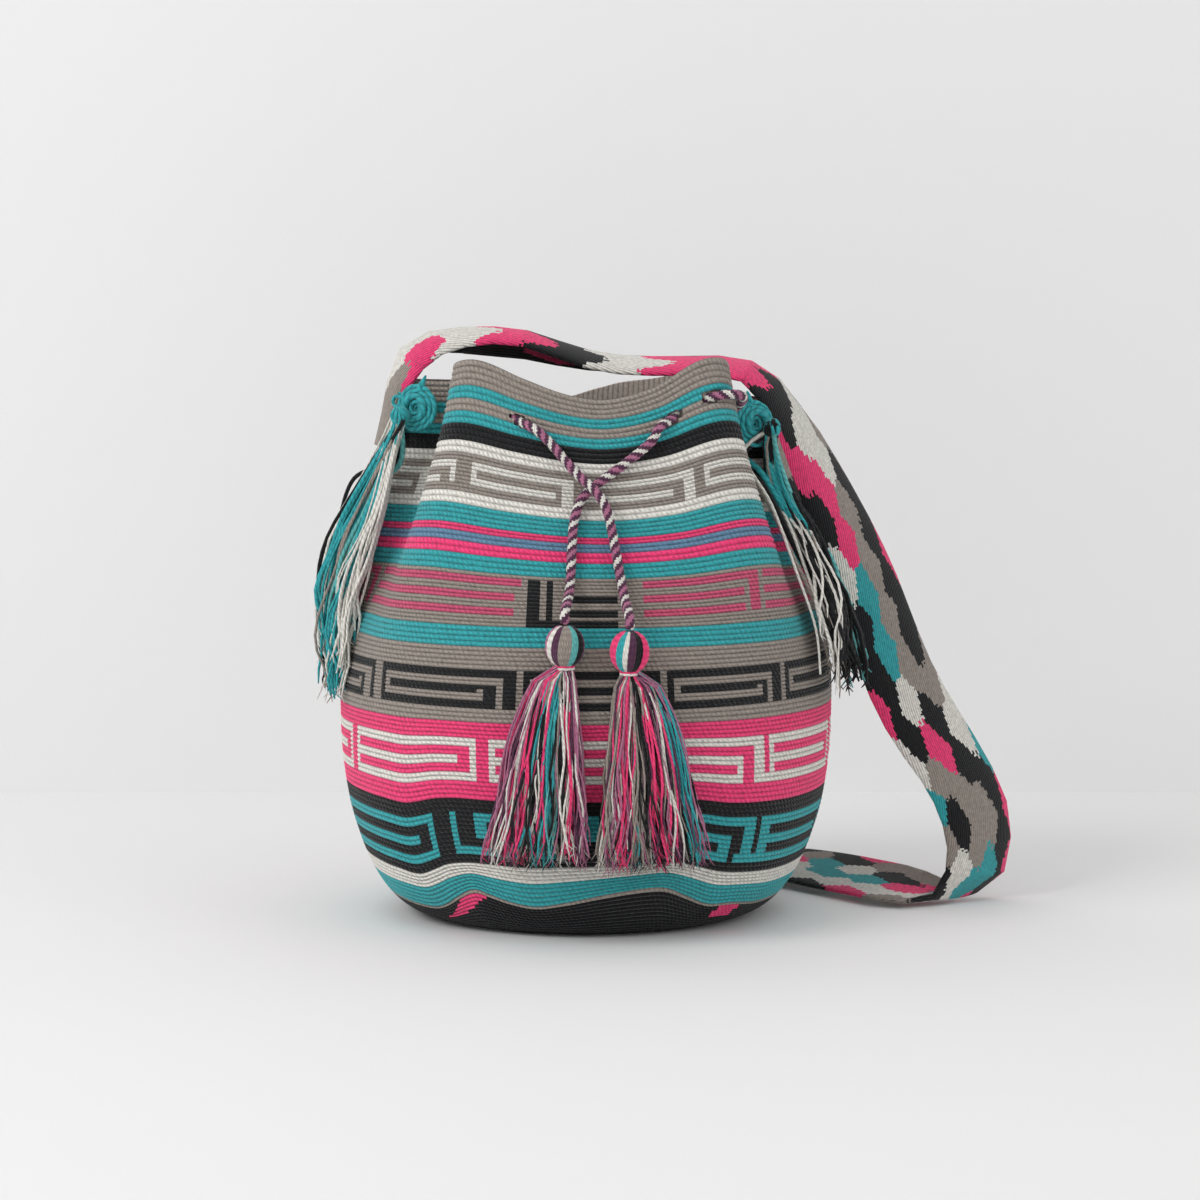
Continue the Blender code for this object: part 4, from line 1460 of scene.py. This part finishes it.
class WAYUU_OT_body(Operator):
    """Builds the crocheted bag in its rounds of yarn"""

    bl_idname = "wayuu.body"
    bl_label = "Crocheted body"

    def execute(self, context):
        sizes = context.scene.wayuu_sizes
        columns = sizes.columns
        arrays = without_holes(*body_arrays(columns, sizes.ridge, sizes.stitches))
        body = mesh_object("crocheted_body", *arrays)
        material = yarn_material("Crocheted cotton", stitch_group(), {}, 0.0011, 0.0006)
        put(body, material, "bag_body", slot="crocheted_cotton")
        return {"FINISHED"}


# The strap


def strap_letter(column, row):
    line = STRAP_CHART[int(clamp(row, 0, len(STRAP_CHART) - 1))]
    return LETTERS.index(line[int(clamp(column, 0, 5))])


def strap_color(along, across):
    """Letter number of the braid at a distance along and a place across from -1 to 1."""
    thread = math.floor((across * STRAP_WIDTH / 2 + along * THREAD_SLANT) / THREAD)
    ragged = 0.09 * math.sin(thread * 12.9898) + 0.05 * math.sin(thread * 78.233)
    place = (across + 1) / 2 * 5
    t = along / LOZENGE + ragged
    low = math.floor(place)
    found, best = 0, 9.0
    for column in (low, low + 1):
        shift = 0.5 if column % 2 == 0 else 1.0
        row = round(t - shift)
        reach = (abs(t - shift - row) / 0.60) ** 1.4 + (abs(place - column) / 0.72) ** 1.4
        if reach < best:
            found, best = strap_letter(column, row), reach
    return found if best < 1.0 else LETTERS.index("G")


def strap_ring():
    """Places round the strap's section: across from -1 to 1, and the side of the face."""
    lanes = [lane / STRAP_LANES for lane in range(STRAP_LANES + 1)]
    return [(lane * 2 - 1, 1.0) for lane in lanes] + [(1 - lane * 2, -1.0) for lane in lanes]


def strap_section(rows, position, ring):
    """Points of one section, its face turned evenly between the route's rows."""
    centre, edge, face, bend = strap_frame(rows, position)
    ahead = strap_frame(rows, min(STRAP_STEPS, position + 0.5))[2]
    behind = strap_frame(rows, max(0, position - 0.5))[2]
    face = (face + ahead + behind).normalized()
    radius = STRAP_WIDTH / 2 / bend
    points = []
    for across, side in ring:
        thin = (1 - abs(across) ** 6) ** 0.5
        reach = radius + side * (STRAP_THICKNESS / 2) * thin
        turn = bend * across
        sideways, outwards = edge * (reach * math.sin(turn)), face * (reach * math.cos(turn))
        points.append(centre - face * radius + sideways + outwards)
    return points


def strap_skin(ring, stations, step):
    """Letters and uvs of the faces between the strap's sections."""
    letters, uvs = [], []
    for k in range(stations):
        along = (k + 0.5) / stations * STRAP_STEPS * step
        v0 = k / stations * STRAP_STEPS * step / RIDGE_LENGTH
        v1 = (k + 1) / stations * STRAP_STEPS * step / RIDGE_LENGTH
        for number, (across, _) in enumerate(ring):
            after = ring[(number + 1) % len(ring)][0]
            letters.append(strap_color(along, (across + after) / 2))
            u0, u1 = across * THREADS_TO_EDGE, after * THREADS_TO_EDGE
            uvs.extend([(u0, v0), (u1, v0), (u1, v1), (u0, v1)])
    return letters, uvs


def strap_caps(count, stations):
    """Faces that close the strap's two cut ends."""
    first, last = [], []
    for number in range(STRAP_LANES):
        across = (number, number + 1, count - 2 - number, count - 1 - number)
        first.append([number, count - 1 - number, count - 2 - number, number + 1])
        last.append([stations * count + place for place in across])
    return np.array(first + last)


class WAYUU_OT_strap(Operator):
    """Builds the braided strap along its route"""

    bl_idname = "wayuu.strap"
    bl_label = "Woven strap"

    def execute(self, context):
        rows = strap_rows()
        step = np.linalg.norm(rows[1][:3] - rows[0][:3])
        stations = 1000
        ring = strap_ring()
        points = []
        for k in range(stations + 1):
            points.extend(strap_section(rows, k / stations * STRAP_STEPS, ring))
        caps = strap_caps(len(ring), stations)
        faces = np.concatenate([grid_faces(stations + 1, len(ring), True), caps])
        letters, uvs = strap_skin(ring, stations, step)
        letters.extend([0] * len(caps))
        uvs.extend([(0, 0)] * (4 * len(caps)))
        strap = mesh_object("braided_strap", points, faces, letters, uvs)
        material = yarn_material("Braided strap", ply_group(), {"Plies": 1.0, "Dark": 0.4}, 0.0004, 0.00012)
        put(strap, material, "strap", slot="woven_strap")
        return {"FINISHED"}


# The drawstring


def cord_path():
    rows = curve_through([tuple(point) for point in drawstring_points()], 12)
    table = np.array(rows)
    length = np.linalg.norm(np.diff(table, axis=0), axis=1).sum()
    return evenly(rows, round(length / 0.0011)), length


def cord_skin(rows, sides, step, twist):
    """Letters and uvs of the twisted plies."""
    letters, uvs = [], []
    plies = len(PLY_COLORS)
    for k in range(rows):
        v0, v1 = k * step * 700, (k + 1) * step * 700
        for j in range(sides):
            turned = (2 * math.pi * (j + 0.5) / sides - twist * (k + 0.5)) / (2 * math.pi)
            letters.append(LETTERS.index(PLY_COLORS[int(math.floor(turned * plies)) % plies]))
            left, right = j / sides, (j + 1) / sides
            uvs.extend([(left, v0), (right, v0), (right, v1), (left, v1)])
    return letters, uvs


class WAYUU_OT_drawstring(Operator):
    bl_idname = "wayuu.drawstring"
    bl_label = "Drawstring"

    def execute(self, context):
        path, length = cord_path()
        sides = 24
        step = length / (len(path) - 1)
        twist = 2 * math.pi * step / PLY_TURN
        plies = len(PLY_COLORS)
        points = tube(path, CORD_DIAMETER / 2 * 1.04, sides, 0.0, plies, PLY_DEPTH, twist)
        faces = grid_faces(len(path), sides, True)
        letters, uvs = cord_skin(len(path) - 1, sides, step, twist)
        cord = mesh_object("twisted_drawstring", points, faces, letters, uvs)
        material = yarn_material("Twisted cord", ply_group(), {"Plies": -8.0, "Dark": 0.3}, 0.00025, 0.0001)
        put(cord, material, "drawstring", slot="twisted_cord")
        return {"FINISHED"}


# The tassels


def wavy(rng, points, size):
    """Adds slow random sway to a path, more towards its end."""
    phase = [rng.uniform(0, 6.28) for _ in range(4)]
    speed = [rng.uniform(3, 8) for _ in range(2)]
    last = len(points) - 1
    for k, point in enumerate(points):
        t = k / last
        point[0] += size * t * (math.sin(speed[0] * t * 2 + phase[0]) - math.sin(phase[0]))
        point[1] += size * 0.5 * t * (math.sin(speed[1] * t * 2 + phase[1]) - math.sin(phase[1]))
    return points


def skirt_path(start, hem_x, length, off, layer):
    """A strand from under the head down the wall, spreading towards the hem."""
    steps = 11
    path = []
    for k in range(steps + 1):
        t = k / steps
        x = start.x + (hem_x - start.x) * t**0.42
        z = start.z - length * t
        hang = in_front(x, z, off + layer * min(1.0, 0.35 + t))
        y = start.y + (hang.y - start.y) * min(1.0, 3.2 * t)
        path.append([x, y, z])
    return path


def skirt_strands(tassel, skirt, seed, count, radius):
    rng = random.Random(seed)
    bundle = Bundle()
    _, _, hem_width, hem_shift = tassel
    head = head_centre(tassel)
    top_z = head.z - HEAD_HEIGHT * 0.42
    depth = LOCK_HEM * 1.45
    for number in range(count):
        side = rng.uniform(-1, 1)
        layer = rng.random() ** 0.8
        group = int(clamp((side + 1) / 2 * len(skirt) + rng.uniform(-0.7, 0.7), 0, len(skirt) - 1))
        letter = skirt[group]
        if rng.random() < 0.24:
            letter = rng.choice("WWGKMPTR")
        thick = radius * rng.uniform(0.75, 1.2)
        length = SKIRT_LENGTH * rng.uniform(0.90, 1.03)
        hem_x = head.x + hem_shift + side * (hem_width / 2 - 0.003)
        angle = rng.uniform(0, 2 * math.pi)
        start = Vector((head.x + 0.0035 * math.cos(angle), head.y + 0.0035 * math.sin(angle), top_z))
        path = skirt_path(start, hem_x, length, WALL_CLEARANCE + thick, layer * depth)
        path = wavy(rng, path, 0.0024)
        radii = [thick * 0.75] + [thick] * (len(path) - 3) + [thick, thick * 0.55]
        bundle.add(path, radii, 5, letter, 260)
        if rng.random() < 0.55:
            fray(bundle, rng, path[-1], thick, letter)
    return bundle


def fray(bundle, rng, tip, thick, letter):
    """A few thin loose ends at the tip of a strand."""
    for _ in range(2):
        way = Vector((rng.uniform(-1, 1), rng.uniform(-0.3, 0.3), rng.uniform(-1.2, -0.3)))
        path = []
        for t in (0, 0.5, 1):
            drop = (0.0, 0.0, 0.001 * t)
            path.append([tip[i] + way[i] * 0.0035 * t - drop[i] for i in range(3)])
        bundle.add(path, [thick * 0.45, thick * 0.35, thick * 0.2], 4, letter, 260)


def head_wraps(tassel, colors, seed):
    """The tassel's head: yarn wrapped from pole to pole over a ball, in coloured segments."""
    rng = random.Random(seed)
    bundle = Bundle()
    centre = head_centre(tassel)
    count = 44
    for number in range(count):
        turn = 2 * math.pi * number / count
        letter = colors[int((1 - number / count) * len(colors)) % len(colors)]
        path = []
        steps = 12
        for k in range(steps + 1):
            fall = math.pi * (0.06 + 0.86 * k / steps)
            wide = math.sin(fall) ** 0.85 * (HEAD_WIDTH / 2 - 0.0009)
            swirl = turn + 0.35 * (k / steps - 0.5)
            path.append(
                [
                    centre.x + wide * math.sin(swirl),
                    centre.y + wide * math.cos(swirl),
                    centre.z + math.cos(fall) * (HEAD_HEIGHT / 2 - 0.0006) + rng.uniform(-0.0001, 0.0001),
                ]
            )
        bundle.add(path, 0.00095, 6, letter, 300)
    for ring in range(3):
        height = centre.z - HEAD_HEIGHT * 0.43 - ring * 0.0011
        turns = [2 * math.pi * k / 24 for k in range(25)]
        path = [[centre.x + 0.0046 * math.cos(t), centre.y + 0.0046 * math.sin(t), height] for t in turns]
        bundle.add(path, 0.0008, 6, "W" if ring != 1 else "P", 300)
    return bundle


class WAYUU_OT_tassels(Operator):
    """Builds the two tassels on the drawstring's ends"""

    bl_idname = "wayuu.tassels"
    bl_label = "Drawstring tassels"

    def execute(self, context):
        sizes = context.scene.wayuu_sizes
        material = yarn_material("Tassel yarn", ply_group(), {"Plies": 2.0, "Dark": 0.35}, 0.0002, 0.0001)
        rows = (
            ("left", LEFT_TASSEL, LEFT_SKIRT, LEFT_HEAD, 3),
            ("right", RIGHT_TASSEL, RIGHT_SKIRT, RIGHT_HEAD, 8),
        )
        for name, tassel, skirt, head, seed in rows:
            strands = skirt_strands(tassel, skirt, seed, sizes.strands, sizes.strand / 2)
            obj = strands.build(f"tassel_{name}_skirt")
            put(obj, material, f"tassel_{name}", slot="tassel_yarn")
            wraps = head_wraps(tassel, head, seed + 1).build(f"tassel_{name}_head")
            put(wraps, material, slot="tassel_yarn")
        return {"FINISHED"}


# The rosettes


def rosette_place(rows, seat, from_start):
    """Centre and directions of a rosette on the strap's outer side near one of its ends."""
    from_end, across, slide = seat
    step = np.linalg.norm(rows[1][:3] - rows[0][:3])
    position = from_end / step if from_start else len(rows) - 1 - from_end / step
    low = on_strap(rows, position, across, STRAP_THICKNESS / 2)
    facing = (on_strap(rows, position, across, STRAP_THICKNESS) - low).normalized()
    sideways = on_strap(rows, position, across * 1.05, STRAP_THICKNESS / 2) - low
    sideways = (sideways - facing * sideways.dot(facing)).normalized()
    centre = low + facing * (GAP * 2) + sideways * slide
    return centre, sideways, facing.cross(sideways), facing


def rosette_bundle(centre, right, up, out, seed):
    """Rings of crochet round a raised loop, with a point of yarn upwards and a loop beside it."""
    rng = random.Random(seed)
    bundle = Bundle()

    def place(x, y, z):
        point = centre + right * x + up * y + out * z
        return list(point)

    for radius, height, thick in ROSETTE_RINGS:
        steps = 72
        path, radii = [], []
        for k in range(steps + 1):
            turn = 2 * math.pi * k / steps
            wobble = 1 + 0.03 * math.sin(3 * turn + seed)
            path.append(place(radius * wobble * math.cos(turn), radius * wobble * math.sin(turn), height))
            radii.append(thick * (0.82 + 0.18 * abs(math.sin(turn * radius / 0.0034))))
        bundle.add(path, radii, 8, "T", 200)
    button = [place(0, 0, height) for height in (0.0006, 0.0012, 0.0018)]
    bundle.add(button, [0.0030, 0.0028, 0.0008], 10, "T", 200)
    if out.z < 0.2:
        bundle.add([place(*point) for point in ROSETTE_TIP], [0.0024, 0.0018, 0.0011, 0.0005], 7, "T", 200)
    loop = []
    for k in range(17):
        turn = math.pi * 2 * k / 16
        loop.append(place(-0.0125 - 0.0035 * math.cos(turn), 0.001 + 0.0030 * math.sin(turn), 0.0016))
    bundle.add(loop, 0.0011, 6, "T", 200)
    for _ in range(5):
        angle = rng.uniform(2.6, 3.9)
        start = place(0.011 * math.cos(angle), 0.011 * math.sin(angle), 0.0012)
        end = place(0.0155 * math.cos(angle), 0.0155 * math.sin(angle) - 0.001, 0.0008)
        middle = [(a + b) / 2 for a, b in zip(start, end)]
        bundle.add([start, middle, end], [0.0009, 0.0008, 0.0005], 5, "T", 200)
    return bundle


class WAYUU_OT_rosettes(Operator):
    """Builds the crocheted rosettes at the strap's sewn ends"""

    bl_idname = "wayuu.rosettes"
    bl_label = "Rosettes"

    def execute(self, context):
        rows = strap_rows()
        material = yarn_material("Rosette crochet", ply_group(), {"Plies": 2.0, "Dark": 0.45}, 0.0004, 0.0001)
        for name, seat, from_start in (("left", LEFT_ROSETTE, True), ("right", RIGHT_ROSETTE, False)):
            centre, right, up, out = rosette_place(rows, seat, from_start)
            if up.z < 0:
                right, up = -right, -up
            obj = rosette_bundle(centre, right, up, out, 2 if from_start else 5).build(f"rosette_{name}_yarn")
            put(obj, material, f"rosette_{name}", slot="rosette_crochet")
        return {"FINISHED"}


# The side tassels


def side_path(seat, root, length, turn, swell, thick):
    """A strand from the knot down the wall beside the gusset's tip."""
    tip, facing, top, top_turn, shift, hem_off = seat
    steps = 16
    path = []
    for k in range(steps + 1):
        t = k / steps
        swing = math.sin(math.pi * min(1.0, t * 1.15)) ** 0.7
        share = top + SIDE_RISE * (1 - t) ** 3 - length * t / BAG_HEIGHT
        off = WALL_CLEARANCE + thick + swell * (0.35 + 0.65 * swing)
        off += (SIDE_START + 0.003) * (1 - t) + hem_off * t
        degrees = tip + facing * (top_turn + (turn + shift - top_turn) * t**0.8)
        blend = clamp(t / 0.32, 0.0, 1.0)
        blend = blend * blend * (3 - 2 * blend)
        hang = off_wall(degrees, share, off)
        path.append(list(root + (hang - root) * blend))
    return path


def side_paths(seat, source, yarn, seed, count):
    """Strands of a side tassel down the front of a gusset's tip."""
    rng = random.Random(seed)
    bundle = Bundle()
    for number in range(count):
        place = rng.random()
        turn = -2 + 20 * place
        layer = rng.random()
        letter = yarn[int(clamp(place * len(yarn) + rng.uniform(-0.6, 0.6), 0, len(yarn) - 1))]
        length = SIDE_TASSEL_LENGTH * rng.uniform(0.72, 1.0)
        thick = 0.00090 * rng.uniform(0.7, 1.6)
        if letter in "WG":
            thick *= 0.75
        start = [rng.gauss(0, 0.0016) for _ in range(3)]
        lean = rng.uniform(0.001, 0.011)
        root = Vector(source) + Vector(start)
        path = wavy(rng, side_path(seat, root, length, turn, lean * 0.7 + layer * 0.006, thick), 0.0036)
        radii = [thick] * (len(path) - 1) + [thick * 0.5]
        bundle.add(path, radii, 5, letter, 260)
        if rng.random() < 0.6:
            fray(bundle, rng, path[-1], thick, letter)
    return bundle


def thick_strand(bundle, points, radius, letter):
    rows = curve_through(points, 8)
    radii = [radius * (1 - 0.35 * k / len(rows)) for k in range(len(rows))]
    bundle.add(rows, radii, 7, letter, 220)


def knot(bundle, source, rng, letters):
    """A wound knot where the strands begin."""
    centre = Vector(source)
    size = SIDE_LOCK * 0.6
    for number in range(9):
        axis = Vector((rng.uniform(-1, 1), rng.uniform(-1, 1), rng.uniform(-0.3, 0.3))).normalized()
        first = axis.orthogonal().normalized()
        second = axis.cross(first)
        path = []
        for k in range(19):
            turn = 2 * math.pi * k / 18
            path.append(list(centre + first * (size * math.cos(turn)) + second * (size * math.sin(turn))))
        bundle.add(path, 0.0011, 6, letters[number % len(letters)], 220)


class WAYUU_OT_side_tassels(Operator):
    """Builds the loose bundles of yarn that hang from the strap's ends"""

    bl_idname = "wayuu.side_tassels"
    bl_label = "Side tassels"

    def execute(self, context):
        twist = {"Plies": 2.0, "Dark": 0.35}
        material = yarn_material("Side tassel yarn", ply_group(), twist, 0.0002, 0.0001)
        rows = (
            ("left", LEFT_SIDE, LEFT_SOURCE, LEFT_SIDE_YARN, LEFT_STRANDS, 21, 120),
            ("right", RIGHT_SIDE, RIGHT_SOURCE, RIGHT_SIDE_YARN, RIGHT_STRANDS, 34, 130),
        )
        for name, seat, source, yarn, strands, seed, count in rows:
            bundle = side_paths(seat, source, yarn, seed, count)
            tip, facing = seat[:2]
            for letter, radius, places in strands:
                wall = [off_wall(tip + facing * turn, share, off) for turn, share, off in places]
                thick_strand(bundle, [source, *(tuple(point) for point in wall)], radius, letter)
            knot(bundle, source, random.Random(seed), "T" if name == "left" else "KT")
            obj = bundle.build(f"side_tassel_{name}_yarn")
            put(obj, material, f"side_tassel_{name}", slot="side_yarn")
        return {"FINISHED"}


# The stage


def area_light(name, place, target, size, power, color=(1.0, 1.0, 1.0)):
    data = bpy.data.lights.new(name, "AREA")
    data.shape = "DISK"
    data.size = size
    data.energy = power
    data.color = color
    light = bpy.data.objects.new(name, data)
    light.location = place
    light.rotation_mode = "QUATERNION"
    light.rotation_quaternion = (Vector(target) - Vector(place)).to_track_quat("-Z", "Y")
    bpy.context.scene.collection.objects.link(light)
    return light


def clear_from_behind(material):
    """Lets the camera see through the back of a surface."""
    tree = material.node_tree
    geometry = tree.nodes.new("ShaderNodeNewGeometry")
    front = math_node(tree, "SUBTRACT", 1.0, geometry.outputs["Backfacing"])
    tree.links.new(front, tree.nodes["Principled BSDF"].inputs["Alpha"])


def flat_plane(name, corners, material):
    mesh = bpy.data.meshes.new(name)
    mesh.from_pydata(corners, [], [(0, 1, 2, 3)])
    mesh.materials.append(material)
    obj = bpy.data.objects.new(name, mesh)
    bpy.context.scene.collection.objects.link(obj)
    return obj


def put_camera(scene, lens):
    data = bpy.data.cameras.new("Camera")
    data.lens = lens
    data.sensor_width = 36.0
    data.sensor_fit = "HORIZONTAL"
    data.clip_start, data.clip_end = 0.05, 60.0
    data.dof.use_dof = False
    camera = bpy.data.objects.new("Camera", data)
    camera.location = CAMERA_PLACE
    camera.rotation_euler = (math.radians(90 - CAMERA_DOWN), 0.0, 0.0)
    scene.collection.objects.link(camera)
    scene.camera = camera


class WAYUU_OT_stage(Operator):
    """Makes the floor, the backdrop, the lights and the camera"""

    bl_idname = "wayuu.stage"
    bl_label = "Stage"

    def execute(self, context):
        settings = context.scene.wayuu_stage
        put_camera(context.scene, settings.lens)
        floor = plain_material("Floor", (0.87, 0.87, 0.87), 0.75)
        backdrop = plain_material("Backdrop", (0.865, 0.865, 0.865), 0.85)
        clear_from_behind(backdrop)
        left, right, top = -STAGE_REACH, STAGE_REACH, STAGE_HEIGHT
        ground = [(left, left, 0), (right, left, 0), (right, right, 0), (left, right, 0)]
        wall = [(left, WALL_Y, 0), (right, WALL_Y, 0), (right, WALL_Y, top), (left, WALL_Y, top)]
        flat_plane("Floor", ground, floor)
        flat_plane("Backdrop", wall, backdrop)

        area_light("Key light", (-1.9, -1.5, 1.9), (0.02, 0, 0.12), 1.5, settings.key * 1.25)
        area_light("Side light", (1.9, -1.2, 1.2), (0.02, 0, 0.15), 1.4, settings.key * 0.2)
        world = bpy.data.worlds.new("Studio")
        context.scene.world = world
        world.use_nodes = True
        background = world.node_tree.nodes["Background"]
        background.inputs["Color"].default_value = (1.0, 1.0, 1.0, 1.0)
        background.inputs["Strength"].default_value = settings.fill
        context.scene.view_settings.view_transform = "Standard"
        context.scene.view_settings.look = "None"
        return {"FINISHED"}


class WAYUU_PT_panel(Panel):
    """Settings and steps of the bag"""

    bl_idname = "WAYUU_PT_panel"
    bl_label = "Wayuu Bag"
    bl_space_type = "VIEW_3D"
    bl_region_type = "UI"
    bl_category = "Wayuu Bag"

    def draw(self, context):
        scene = context.scene
        for group in (scene.wayuu_sizes, scene.wayuu_colors, scene.wayuu_stage):
            box = self.layout.box()
            for key in group.bl_rna.properties.keys():
                if key not in ("rna_type", "name"):
                    box.prop(group, key)
        for operator in OPERATORS:
            self.layout.operator(operator.bl_idname)


OPERATORS = (
    WAYUU_OT_stage,
    WAYUU_OT_tassels,
    WAYUU_OT_drawstring,
    WAYUU_OT_body,
    WAYUU_OT_strap,
    WAYUU_OT_rosettes,
    WAYUU_OT_side_tassels,
)
CLASSES = (WAYUU_PG_colors, WAYUU_PG_sizes, WAYUU_PG_stage, *OPERATORS, WAYUU_PT_panel)


def register():
    for item in CLASSES:
        bpy.utils.register_class(item)
    bpy.types.Scene.wayuu_colors = PointerProperty(type=WAYUU_PG_colors)
    bpy.types.Scene.wayuu_sizes = PointerProperty(type=WAYUU_PG_sizes)
    bpy.types.Scene.wayuu_stage = PointerProperty(type=WAYUU_PG_stage)


def unregister():
    del bpy.types.Scene.wayuu_stage
    del bpy.types.Scene.wayuu_sizes
    del bpy.types.Scene.wayuu_colors
    for item in reversed(CLASSES):
        bpy.utils.unregister_class(item)


def main():
    register()
    bpy.ops.wayuu.stage()
    bpy.ops.wayuu.tassels()
    bpy.ops.wayuu.drawstring()
    bpy.ops.wayuu.body()
    bpy.ops.wayuu.strap()
    bpy.ops.wayuu.rosettes()
    bpy.ops.wayuu.side_tassels()


if __name__ == "__main__":
    main()
